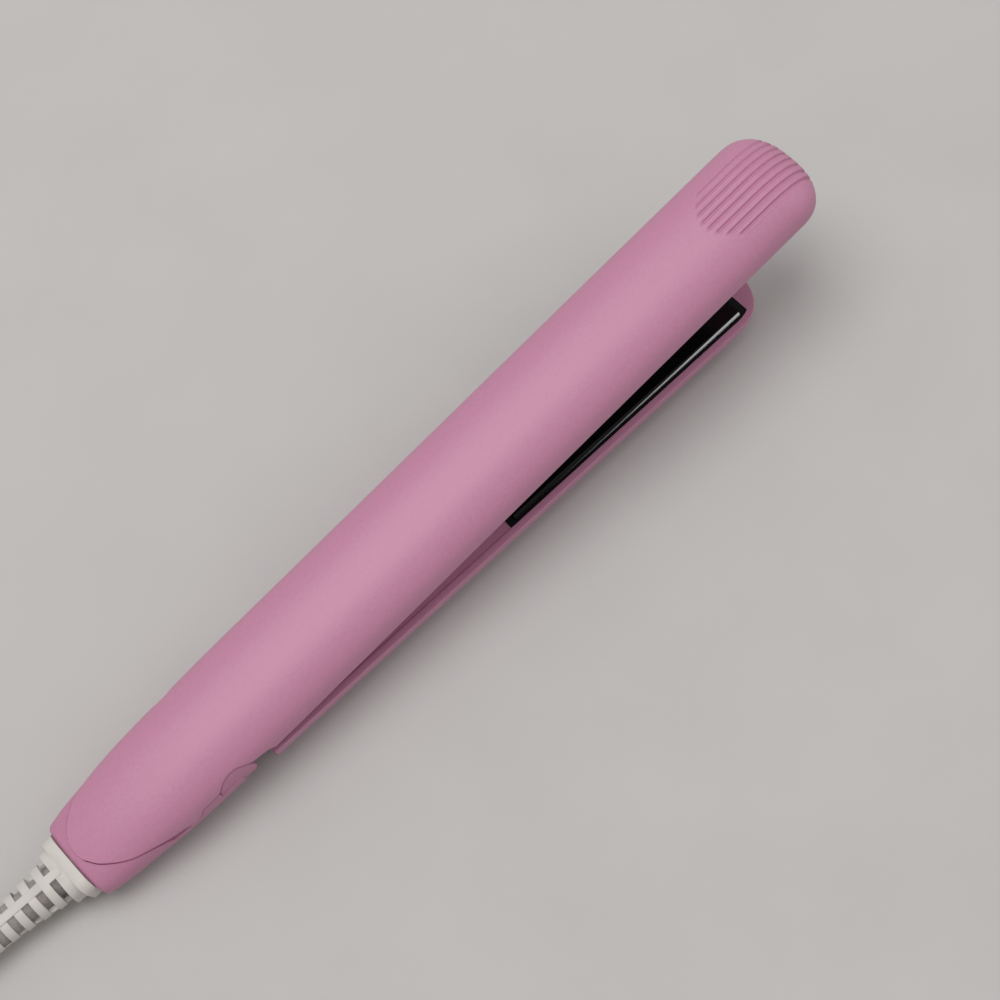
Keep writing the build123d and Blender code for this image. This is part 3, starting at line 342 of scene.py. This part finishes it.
def section_points(w, h, n, t0, t1, x, count=1500, flat=None):
    """Rounded section from angle t0 to t1, 0 at the crown, and 90 degrees at the rim."""
    t = np.linspace(t0, t1, count)
    s, c = np.sin(t), np.cos(t)
    y = w * np.sign(s) * np.abs(s) ** (2 / n)
    z = h * np.abs(np.maximum(c, 0)) ** (2 / n)
    if flat is not None:
        z = np.minimum(z, flat)
    return np.stack([np.full(count, float(x)), y, z], 1)


def cut(obj, cutter, operation="DIFFERENCE", sharp=40.0):
    """Real cut or join, applied, and the cutter is removed."""
    mod = obj.modifiers.new("cut", "BOOLEAN")
    mod.operation = operation
    mod.solver = "EXACT"
    mod.object = cutter
    bpy.context.view_layer.update()
    dg = bpy.context.evaluated_depsgraph_get()
    mesh = bpy.data.meshes.new_from_object(obj.evaluated_get(dg))
    obj.modifiers.clear()
    old = obj.data
    obj.data = mesh
    bpy.data.meshes.remove(old)
    bpy.data.objects.remove(cutter)
    mesh.polygons.foreach_set("use_smooth", [True] * len(mesh.polygons))
    mesh.set_sharp_from_angle(angle=math.radians(sharp))
    return obj


def prism(name, outline, low, high, place_of, sharp=40.0):
    """Outline extruded from low to high; place_of(u, v, w) gives the point."""
    n = len(outline)
    co = [place_of(u, v, low) for u, v in outline] + [place_of(u, v, high) for u, v in outline]
    faces = [(i, (i + 1) % n, n + (i + 1) % n, n + i) for i in range(n)]
    faces += [tuple(range(n)), tuple(range(n, 2 * n))]
    return make(name, co, faces, sharp)


def disc(cx, cy, r, n=64):
    return [(cx + r * math.cos(2 * math.pi * k / n), cy + r * math.sin(2 * math.pi * k / n)) for k in range(n)]


# ------------------------------------------------------------------ upper shell
NV, NI, EDGE = 420, 40, 0.22
GROOVES = [(k - 3.5) * 1.757 for k in range(8)]


def inner_width(x):
    return (np.where(x < 46, tail_w(x), HALF) - 1.5) * fall(x, LENGTH - 9.0, 7.5, 2.4)


def inner_height(x):
    return (np.where(x < 46, tail_top(x), UP_DEPTH) - 1.5) * fall(x, LENGTH - 14.0, 12.5, 2.3)


def end_angle(x, w, h, n):
    if w <= 0 or h <= 0:
        return math.pi / 2
    t = math.pi / 2
    if x < 24.6:
        t = math.asin(min(1.0, max(0.0, float(u_half(x)) / w)) ** (n / 2))
    if 22.4 <= x <= 41.8:
        t = min(t, math.acos(min(1.0, float(arch_z(x)) / h) ** (n / 2)))
    return t


def groove_depth(x, y):
    depth = np.zeros_like(x)
    for c in GROOVES:
        start = 170.2 + 3.6 * (abs(c) / 6.0) ** 2
        a = np.clip((x - start) / 1.3, 0, 1)
        e = np.clip((194.8 - x) / 0.6, 0, 1)
        env = a * a * (3 - 2 * a) * e * e * (3 - 2 * e)
        off = np.abs(y - c)
        q = np.clip(1 - (off / 0.36) ** 2, 0, 1)
        lip = np.exp(-(((off - 0.56) / 0.13) ** 2))
        depth = np.where(q > 0, np.maximum(depth, 0.40 * env * q**0.9), depth - 0.06 * env * lip)
    return depth


xs = [float(u_x(u)) for u in np.linspace(0, 10.0, 46)]
xs += list(np.arange(xs[-1] + 0.5, 22.3, 0.5)) + list(np.arange(22.4, 27.7, 0.25)) + [27.8, 27.85, 27.9, 27.95, 28.0, 28.1, 28.2, 28.4, 28.6]
xs += list(np.arange(28.9, 41.75, 0.3)) + [41.8, 41.9]
xs += list(np.arange(44.0, 168.0, 2.5)) + list(np.arange(168.0, 181.0, 0.3))
xs += [181.0 + 14.0 * math.sin(math.pi / 2 * k / 60) for k in range(61)]
rings = []
for x in xs:
    x = float(x)
    w, h = float(up_width(x)), float(up_height(x))
    t = end_angle(x, w, h, 2.4)
    dense = section_points(w, h, 2.4, -t, t, x)
    outer = even(dense, NV, EDGE)
    xi = min(x, LENGTH - 1.5)
    wi, hi = float(inner_width(xi)), float(inner_height(xi))
    ti = end_angle(xi, wi, hi, 2.4)
    inner = even(section_points(wi, hi, 2.4, ti, -ti, xi), NI)
    e1, e0 = dense[-1], dense[0]
    b1, b0 = step_to(e1, inner[0], EDGE), step_to(e0, inner[-1], EDGE)
    rings.append(np.vstack([outer, rounded(outer[-1], e1, b1), b1[None], inner, b0[None], rounded(b0, e0, outer[0])]))
rings = np.array(rings)
outer = rings[:, :NV]
du = np.gradient(outer, axis=0)
dv = np.gradient(outer, axis=1)
normal = np.cross(dv, du)
length = np.linalg.norm(normal, axis=2, keepdims=True)
normal = np.where(length > 1e-12, normal / np.maximum(length, 1e-12), 0)
if normal[len(xs) // 2, NV // 2, 2] < 0:
    normal = -normal
depth = groove_depth(outer[:, :, 0], outer[:, :, 1])
rings[:, :NV] = outer - normal * depth[:, :, None]
upper_shell_look = ring_mesh("upper_shell_look", rings, up)
paint(upper_shell_look, "pink_soft_touch")
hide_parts("top_shell")
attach(upper_shell_look, "body")

# ------------------------------------------------------------------ lower shell
rings = []
xs = [41.0, 41.06, 41.22, 41.45, 42.48, 42.5, 42.52] + list(np.arange(44.5, 164.0, 2.5)) + [164.0 + 14.0 * math.sin(math.pi / 2 * k / 40) for k in range(41)]
xs = sorted(xs + [172.88, 172.9, 172.92])
for x in xs:
    x = float(x)
    w, h = float(lo_width(x)), float(lo_height(x))
    cut_in = {41.0: 0.35, 41.06: 0.2, 41.22: 0.06}.get(x, 0.0)
    w, h = w - cut_in, h - cut_in
    dense = section_points(w, h * 9.3 / 9.0, 2.6, -math.pi / 2, math.pi / 2, x, flat=h)
    outer = even(dense, 260, EDGE)
    hollow = 42.5 < x < 172.9
    wi = w - 1.45
    if wi < 0.05:
        wi = 0.0
    if hollow:
        inner = even(section_points(wi, 7.5, 2.6, math.pi / 2, -math.pi / 2, x), 60)
    else:
        inner = even(np.array([[x, wi, 0.0], [x, -wi, 0.0]]), 60)
    e1, e0 = dense[-1], dense[0]
    b1, b0 = step_to(e1, inner[0], EDGE), step_to(e0, inner[-1], EDGE)
    rings.append(np.vstack([outer, rounded(outer[-1], e1, b1), b1[None], inner, b0[None], rounded(b0, e0, outer[0])]))
lower_shell_look = ring_mesh("lower_shell_look", rings, lm, caps=True)
hole = prism("hole", [(-4.8, 0.9), (4.8, 0.9), (4.8, 7.5), (-4.8, 7.5)], LO_START - 1, LO_START + 2.5, lambda u, v, w: lm(w, u, v))
cut(lower_shell_look, hole)
for side in (-1, 1):
    outline = [(HINGE_X + 4.2 * math.cos(a), HINGE_Z + 4.2 * math.sin(a)) for a in np.linspace(math.radians(20), math.radians(268), 48)]
    outline += [(HINGE_X + 3.0, -5.7), (LO_START + 0.6, -8.2), (LO_START + 0.6, -1.7), (HINGE_X + 4.3, -1.7)]
    lug = prism("lug", outline, side * 5.0, side * 7.6, lambda u, v, w: lo(u, w, v))
    bore = prism("bore", disc(HINGE_X, HINGE_Z, 2.5), side * 4.5, side * 8.5, lambda u, v, w: lo(u, w, v))
    cut(lug, bore)
    cut(lower_shell_look, lug, "UNION")
paint(lower_shell_look, "pink_soft_touch")
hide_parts("lower_shell")
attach(lower_shell_look, "lower_arm")

# ------------------------------------------------------------------ tail cover
NT = 300


def cover_profile(x, side_in, top_in, bottom_in, t_edge, count):
    """From the left edge over the underside to the right edge: upper left flank, lower half, upper right flank."""
    w = float(tail_w(min(x, 46.0)))
    hu, hl = float(tail_top(x)), float(tail_bottom(min(x, 40.0)))
    wu = max(0.05, w - side_in)
    left = section_points(wu, max(0.05, hu - top_in), 2.4, t_edge, math.pi / 2, x, 500)
    low = section_points(wu, max(0.05, hl - bottom_in), 2.6, math.pi / 2, -math.pi / 2, x, 900)
    low[:, 2] *= -1
    right_ = section_points(wu, max(0.05, hu - top_in), 2.4, -math.pi / 2, -t_edge, x, 500)
    return np.vstack([left, low[1:-1], right_])


def round_hole(x, r, count=1800):
    t = np.linspace(0, 2 * math.pi, count)
    return np.stack([np.full(count, float(x)), r * np.sin(t), r * np.cos(t)], 1)


def cover_edge(x):
    """Angle from the crown at which the cover's upper edge lies."""
    w, h = float(tail_w(x)) - 0.1, float(tail_top(x)) - 0.4
    if x <= 1.65:
        return 0.0
    t = math.pi / 2
    if x < 24.4:
        t = math.asin(min(1.0, (float(u_half(x)) + 0.1) / w) ** 1.2)
    if 22.5 <= x <= 28.3:
        t = min(t, math.acos(min(1.0, max(0.0, float(arch_z(x)) - 0.12) / h) ** 1.2))
    return t


xs = [0.0, 0.04, 0.15, 0.35, 0.6, 0.9, 1.2, 1.55, 1.6, 1.65]
xs += [max(1.66, float(u_x(u)) - 0.08) for u in np.linspace(0, 10.0, 46)]
xs += list(np.arange(xs[-1] + 0.4, 22.3, 0.5)) + list(np.arange(22.5, 28.25, 0.25)) + [28.28, 28.32, 29.0, 30.0, 31.0, 32.0, 33.0, 33.4, 33.5]
top_blend = smooth_curve([(0.0, 0.42), (18.0, 0.42), (22.0, 0.15), (40.0, 0.08)])
outer_grid, inner_grid, walls = [], [], []
for x in sorted(xs):
    x = float(x)
    e = max(0.0, 0.9 - x)
    back_in = 0.9 - math.sqrt(max(0.0, 0.81 - e * e))
    front = {33.5: 0.12, 33.4: 0.03}.get(x, 0.0)
    t = cover_edge(x)
    o = cover_profile(x, 0.1 + back_in + front, float(top_blend(x)) + back_in + front, back_in + front, t, NT)
    outer_grid.append(even(o, NT, 0.0 if t == 0.0 else 0.18))
    corner_a, corner_b = o[0], o[-1]
    if x <= 1.6:
        i_ = round_hole(x, 3.3)
        inner_grid.append(even(i_, NT))
        walls.append(False)
        if x == 1.6:
            outer_grid.append(outer_grid[-1].copy())
            inner_grid.append(even(cover_profile(x, 1.75, 1.9, 1.6, 0.0, NT), NT))
            walls.append(False)
    else:
        i_ = cover_profile(x, 1.75, 1.9, 1.6, t, NT)
        inner_grid.append(even(i_, NT))
        walls.append(t > 0.0)
outer_grid, inner_grid = np.array(outer_grid), np.array(inner_grid)
n_rows = len(outer_grid)
co = [up(*p) for p in outer_grid.reshape(-1, 3)] + [up(*p) for p in inner_grid.reshape(-1, 3)]
base = n_rows * NT
faces = []
for i in range(n_rows - 1):
    for j in range(NT - 1):
        a, b = i * NT + j, (i + 1) * NT + j
        faces.append((a, a + 1, b + 1, b))
        faces.append((base + a, base + b, base + b + 1, base + a + 1))
    if walls[i + 1]:
        for j in (0, NT - 1):
            a, b = i * NT + j, (i + 1) * NT + j
            faces.append((a, b, base + b, base + a))
for i in (0, n_rows - 1):
    for j in range(NT - 1):
        a = i * NT + j
        faces.append((a, base + a, base + a + 1, a + 1))
tail_cover_look = make("tail_cover_look", co, faces, 35.0, merge=2e-7)


def form_half(x, z):
    """Half width of the tail's form at a height."""
    h, n = (float(tail_top(x)), 2.4) if z >= 0 else (float(tail_bottom(min(x, 40.0))), 2.6)
    return float(tail_w(x)) * (1 - min(1.0, abs(z) / h) ** n) ** (1 / n)


for side in (-1, 1):
    EAR = 4.4
    rings_ = [(0.0, None)]
    co, faces = [], []
    levels = [(EAR, 8.0, 0), (EAR, None, 0.55), (EAR - 0.08, None, 0.36), (EAR - 0.25, None, 0.3), (EAR * 0.75, None, 0.3), (EAR * 0.5, None, 0.3), (EAR * 0.25, None, 0.3)]
    count = 72
    for r, flat_y, drop in levels:
        for k in range(count):
            a = 2 * math.pi * k / count
            x, z = HINGE_X + r * math.cos(a), HINGE_Z + r * math.sin(a)
            y = flat_y if flat_y is not None else form_half(x, z) - drop
            co.append(up(x, side * y, z))
    co.append(up(HINGE_X, side * (form_half(HINGE_X, HINGE_Z) - 0.3), HINGE_Z))
    for i in range(len(levels) - 1):
        for k in range(count):
            a, b = i * count + k, i * count + (k + 1) % count
            faces.append((a, b, b + count, a + count))
    last = (len(levels) - 1) * count
    for k in range(count):
        faces.append((last + k, last + (k + 1) % count, len(co) - 1))
    faces.append(tuple(range(count - 1, -1, -1)))
    cut(tail_cover_look, make("ear", co, faces, 35.0), "UNION", sharp=35.0)
paint(tail_cover_look, "pink_tail")
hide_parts("tail_cover")
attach(tail_cover_look, "body")


# ------------------------------------------------------------------ pieces with softened edges
def refine(node, body, slot, width, angle=35.0, segments=2):
    """Copy of a piece with its sharp edges rounded, standing for it."""
    mesh = frame["nodes"][node].data.copy()
    b = bmesh.new()
    b.from_mesh(mesh)
    bmesh.ops.remove_doubles(b, verts=b.verts, dist=1e-6)
    bmesh.ops.dissolve_limit(b, angle_limit=math.radians(0.8), verts=b.verts, edges=b.edges)
    b.to_mesh(mesh)
    b.free()
    obj = bpy.data.objects.new(node + "_look", mesh)
    bpy.context.scene.collection.objects.link(obj)
    mod = obj.modifiers.new("round", "BEVEL")
    mod.width = width / 1000
    mod.segments = segments
    mod.limit_method = "ANGLE"
    mod.angle_limit = math.radians(angle)
    mod.use_clamp_overlap = True
    bpy.context.view_layer.update()
    dg = bpy.context.evaluated_depsgraph_get()
    new = bpy.data.meshes.new_from_object(obj.evaluated_get(dg))
    obj.modifiers.clear()
    obj.data = new
    new.polygons.foreach_set("use_smooth", [True] * len(new.polygons))
    new.set_sharp_from_angle(angle=math.radians(50))
    paint(obj, slot)
    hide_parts(node)
    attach(obj, body)
    return obj


strain_relief_look = refine("strain_relief", "body", "white_sleeve", 0.18)
# side rails that close the windows between the ribs, a little below the middle
RELIEF_O = Vector((-82.793, 0.0, 5.592))
RX = Vector((-math.cos(math.radians(2)), math.sin(math.radians(2)), 0))
RY = Vector((-RX.y, RX.x, 0))
for side in (-1, 1):
    co, faces = [], []
    stations = [2.6, 6.0, 9.5, 13.0, 17.0, 21.0, 25.0, 29.0]
    for x in stations:
        w = 5.2 - 1.5 * min(x, 13) / 13 - 0.35 * max(x - 13, 0) / 17
        for y, z in ((w - 0.3, -0.55), (w - 0.45, -1.75), (w - 1.25, -1.75), (w - 1.25, -0.55)):
            q = RELIEF_O + RX * x + RY * (side * y)
            co.append((q.x / 1000, q.y / 1000, (q.z + z) / 1000))
    for i in range(len(stations) - 1):
        for k in range(4):
            faces.append((4 * i + k, 4 * i + (k + 1) % 4, 4 * (i + 1) + (k + 1) % 4, 4 * (i + 1) + k))
    faces += [(3, 2, 1, 0), tuple(len(co) - 4 + k for k in range(4))]
    cut(strain_relief_look, make("rail", co, faces, 35.0), "UNION", sharp=50.0)
# the sleeve round the cord is as white as the ribs; its faces between the ribs get a mottled grey, painted shade in the
# windows
strain_relief_look.data.materials.append(M["sleeve_painted_shade"])
for poly in strain_relief_look.data.polygons:
    off = Vector(poly.center) * 1000 - RELIEF_O
    along = off.dot(RX)
    if 2.4 < along < 29.9 and 2.7 < (off - RX * along).length < 3.2:
        poly.material_index = 1

def spring_look(node, body, axis, high):
    """Copy of a spring, attached to its body; its fixed end along the axis is found, but nothing here shortens it as
    the joint moves.
    """
    mesh = frame["nodes"][node].data.copy()
    obj = bpy.data.objects.new(node + "_look", mesh)
    bpy.context.scene.collection.objects.link(obj)
    paint(obj, "spring_steel")
    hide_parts(node)
    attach(obj, body)
    axis = Vector(axis)
    spots = [Vector(v.co) for v in mesh.vertices]
    along = [q.dot(axis) for q in spots]
    end = (max if high else min)(along)
    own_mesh(obj)


spring_look("opening_spring", "lower_arm", (0, 0, 1), False)
spring_look("upper_plate_spring_rear", "body", turn((0, 0, 1)), True)
spring_look("upper_plate_spring_front", "body", turn((0, 0, 1)), True)
spring_look("lower_plate_springs", "lower_arm", (0, 0, 1), False)


def plate_edge_glint(x0, x1, y_in, y_out):
    """Coating over a bevel, with bare metal in a wedge that opens towards the tip: the wedge is a painted reflection of
    the bright surroundings, and the edge stays dark coating behind it.
    """
    m = material("plate_edge_glint", (0.6, 0.6, 0.6), rough=0.42, metallic=1.0, scale=700, bump=0.1, spec=0.2)
    nt = m.node_tree
    bsdf = nt.nodes["Principled BSDF"]
    coord = nt.nodes.new("ShaderNodeTexCoord")
    xyz = nt.nodes.new("ShaderNodeSeparateXYZ")
    nt.links.new(coord.outputs["Object"], xyz.inputs["Vector"])
    side = nt.nodes.new("ShaderNodeMath")
    side.operation = "ABSOLUTE"
    nt.links.new(xyz.outputs["Y"], side.inputs[0])
    limit = nt.nodes.new("ShaderNodeMapRange")
    limit.inputs["From Min"].default_value = x0
    limit.inputs["From Max"].default_value = x1
    limit.inputs["To Min"].default_value = y_out
    limit.inputs["To Max"].default_value = y_in
    nt.links.new(xyz.outputs["X"], limit.inputs["Value"])
    over = nt.nodes.new("ShaderNodeMath")
    over.operation = "SUBTRACT"
    nt.links.new(side.outputs["Value"], over.inputs[0])
    nt.links.new(limit.outputs["Result"], over.inputs[1])
    mask = nt.nodes.new("ShaderNodeMapRange")
    mask.interpolation_type = "SMOOTHSTEP"
    mask.inputs["From Min"].default_value = -0.00004
    mask.inputs["From Max"].default_value = 0.00006
    nt.links.new(over.outputs["Value"], mask.inputs["Value"])
    ramp = nt.nodes.new("ShaderNodeValToRGB")
    ramp.color_ramp.elements[0].color = (0.004, 0.004, 0.005, 1)
    ramp.color_ramp.elements[1].color = (0.86, 0.86, 0.87, 1)
    nt.links.new(mask.outputs["Result"], ramp.inputs["Fac"])
    nt.links.new(ramp.outputs["Color"], bsdf.inputs["Base Color"])
    nt.links.new(mask.outputs["Result"], bsdf.inputs["Metallic"])
    return m


# bare metal along the bevelled edges of the plates, shown only in a wedge that widens towards the tip: a painted
# reflection
bevel_glint_metal = plate_edge_glint(0.036, 0.090, 0.0087, 0.00925)
for arm, tilt in (("upper", True), ("lower", False)):
    plate = frame["nodes"][arm + "_plate"]
    plate.data.materials.append(bevel_glint_metal)
    face_dir = turn((0, 0, -1)) if tilt else Vector((0, 0, 1))
    for poly in plate.data.polygons:
        n = poly.normal
        if 0.45 < abs(n.y) < 0.9 and n.dot(face_dir) > 0.4:
            poly.material_index = 1

# ------------------------------------------------------------------ plug, lying on the floor
PLUG = Vector((-191.5, -9.9, 6.8))
profile = [(0.0, 2.9, 2.9, 2), (0.0, 3.15, 3.15, 2), (0.25, 3.3, 3.3, 2)]
for k in range(5):
    t = 0.9 + k * 1.4
    r = 3.3 + 0.13 * t
    profile += [(t, r, r, 2), (t + 0.15, r - 0.5, r - 0.5, 2), (t + 0.55, r - 0.5, r - 0.5, 2), (t + 0.7, r + 0.06, r + 0.06, 2)]
profile += [(7.8, 4.35, 4.35, 2), (8.4, 4.9, 4.5, 2.2), (9.4, 6.0, 4.9, 2.5), (10.6, 7.4, 5.6, 2.8), (12.0, 8.4, 6.15, 3.2), (13.2, 8.85, 6.4, 3.5), (14.4, 8.9, 6.4, 3.6),
            (15.6, 8.6, 6.1, 3.6), (17.0, 8.4, 5.95, 3.6), (18.6, 8.5, 6.05, 3.6), (20.0, 8.95, 6.4, 3.8), (20.6, 9.4, 6.55, 4), (21.0, 9.7, 6.62, 4.2), (23.2, 9.7, 6.62, 4.2), (23.7, 9.55, 6.45, 4.2), (24.0, 9.2, 6.1, 4.2)]
rings = []
for t, a_, b_, n_ in profile:
    ph = np.linspace(0, 2 * math.pi, 97)[:-1]
    c_, s_ = np.cos(ph), np.sin(ph)
    rings.append(np.stack([np.full(96, t), a_ * np.sign(c_) * np.abs(c_) ** (2 / n_), b_ * np.sign(s_) * np.abs(s_) ** (2 / n_)], 1))


def at_plug(t, u, v):
    return ((PLUG.x - t) / 1000, (PLUG.y + u) / 1000, (PLUG.z + v) / 1000)


plug_look = ring_mesh("plug_body_look", rings, at_plug, sharp=35.0, caps=True)
for u in (-6.35, 6.35):
    slot_ = prism("slot", [(u - 0.76, -3.16), (u + 0.76, -3.16), (u + 0.76, 3.16), (u - 0.76, 3.16)], 16.1, 25.0, lambda p, q, w: at_plug(w, p, q))
    cut(plug_look, slot_, sharp=35.0)
paint(plug_look, "white_plug")
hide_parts("plug_body")
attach(plug_look, "body")

# ------------------------------------------------------------------ band round the turns
TIE_X = NEAR_X - 28.0
HULL = [(HANK_Y + r, z) for r, z in LANES[:5]]


def hull_point(phi, r):
    c_, s_ = math.cos(phi), math.sin(phi)
    u, z = max(HULL, key=lambda q: q[0] * c_ + q[1] * s_)
    return u + r * c_, z + r * s_


rings = []
for w, r_in, r_out in ((-4.5, 2.62, 2.92), (-4.38, 2.54, 3.0), (-3.6, 2.54, 3.04), (-1.8, 2.54, 3.04), (0.0, 2.54, 3.04), (1.8, 2.54, 3.04), (3.6, 2.54, 3.04), (4.38, 2.54, 3.0), (4.5, 2.62, 2.92)):
    rings.append((w, r_in, r_out))
co, faces, M_ = [], [], 180
for w, r_in, r_out in rings:
    for r in (r_out, r_in):
        for k in range(M_):
            phi = 2 * math.pi * k / M_
            flap = 0.06 if (r == r_out and 1.2 < phi < 1.98) else 0.0
            y, z = hull_point(phi, r + flap)
            co.append(((TIE_X + w) / 1000, y / 1000, z / 1000))
for i in range(len(rings) - 1):
    for side in (0, 1):
        a0, b0 = (2 * i + side) * M_, (2 * (i + 1) + side) * M_
        for k in range(M_):
            k2 = (k + 1) % M_
            faces.append((a0 + k, a0 + k2, b0 + k2, b0 + k))
for i in (0, len(rings) - 1):
    a0, b0 = 2 * i * M_, (2 * i + 1) * M_
    for k in range(M_):
        k2 = (k + 1) % M_
        faces.append((a0 + k, b0 + k, b0 + k2, a0 + k2))
tie_look = make("cord_tie_look", co, faces, 35.0)
paint(tie_look, "white_sleeve")
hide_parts("cord_tie")
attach(tie_look, "body")

# the white cord takes the jacket's grey all along: painted shade
power_cord.data.materials.append(M["white_jacket"])

# ------------------------------------------------------------------ floor and light
floor_mesh = bpy.data.meshes.new("floor")
floor_mesh.from_pydata([(-3, -3, -0.0001), (3, -3, -0.0001), (3, 3, -0.0001), (-3, 3, -0.0001)], [], [(0, 1, 2, 3)])
floor = bpy.data.objects.new("floor", floor_mesh)
bpy.context.scene.collection.objects.link(floor)
floor_mesh.materials.append(material("floor_paper", (0.505, 0.49, 0.48), rough=0.85, vary=0.02, scale=30, bump=0.05, bump_scale=900, spec=0.2))

world = bpy.data.worlds.new("world")
bpy.context.scene.world = world
world.use_nodes = True
world.node_tree.nodes["Background"].inputs["Color"].default_value = (1.0, 0.99, 0.98, 1)
world.node_tree.nodes["Background"].inputs["Strength"].default_value = 0.5


def area(name, at, to, size, power, color=(1, 1, 1)):
    d = bpy.data.lights.new(name, "AREA")
    d.shape = "RECTANGLE"
    d.size, d.size_y = size
    d.energy = power
    d.color = color
    o = bpy.data.objects.new(name, d)
    bpy.context.scene.collection.objects.link(o)
    o.location = at
    o.rotation_mode = "QUATERNION"
    o.rotation_quaternion = (Vector(to) - Vector(at)).to_track_quat("-Z", "Y")
    return o


area("key", (-0.1, 0.24, 1.12), (0.02, 0, 0), (0.8, 0.74), 7.2)
area("fill", (0.9, -0.5, 0.9), (0.02, 0, 0), (0.8, 0.8), 1.6)
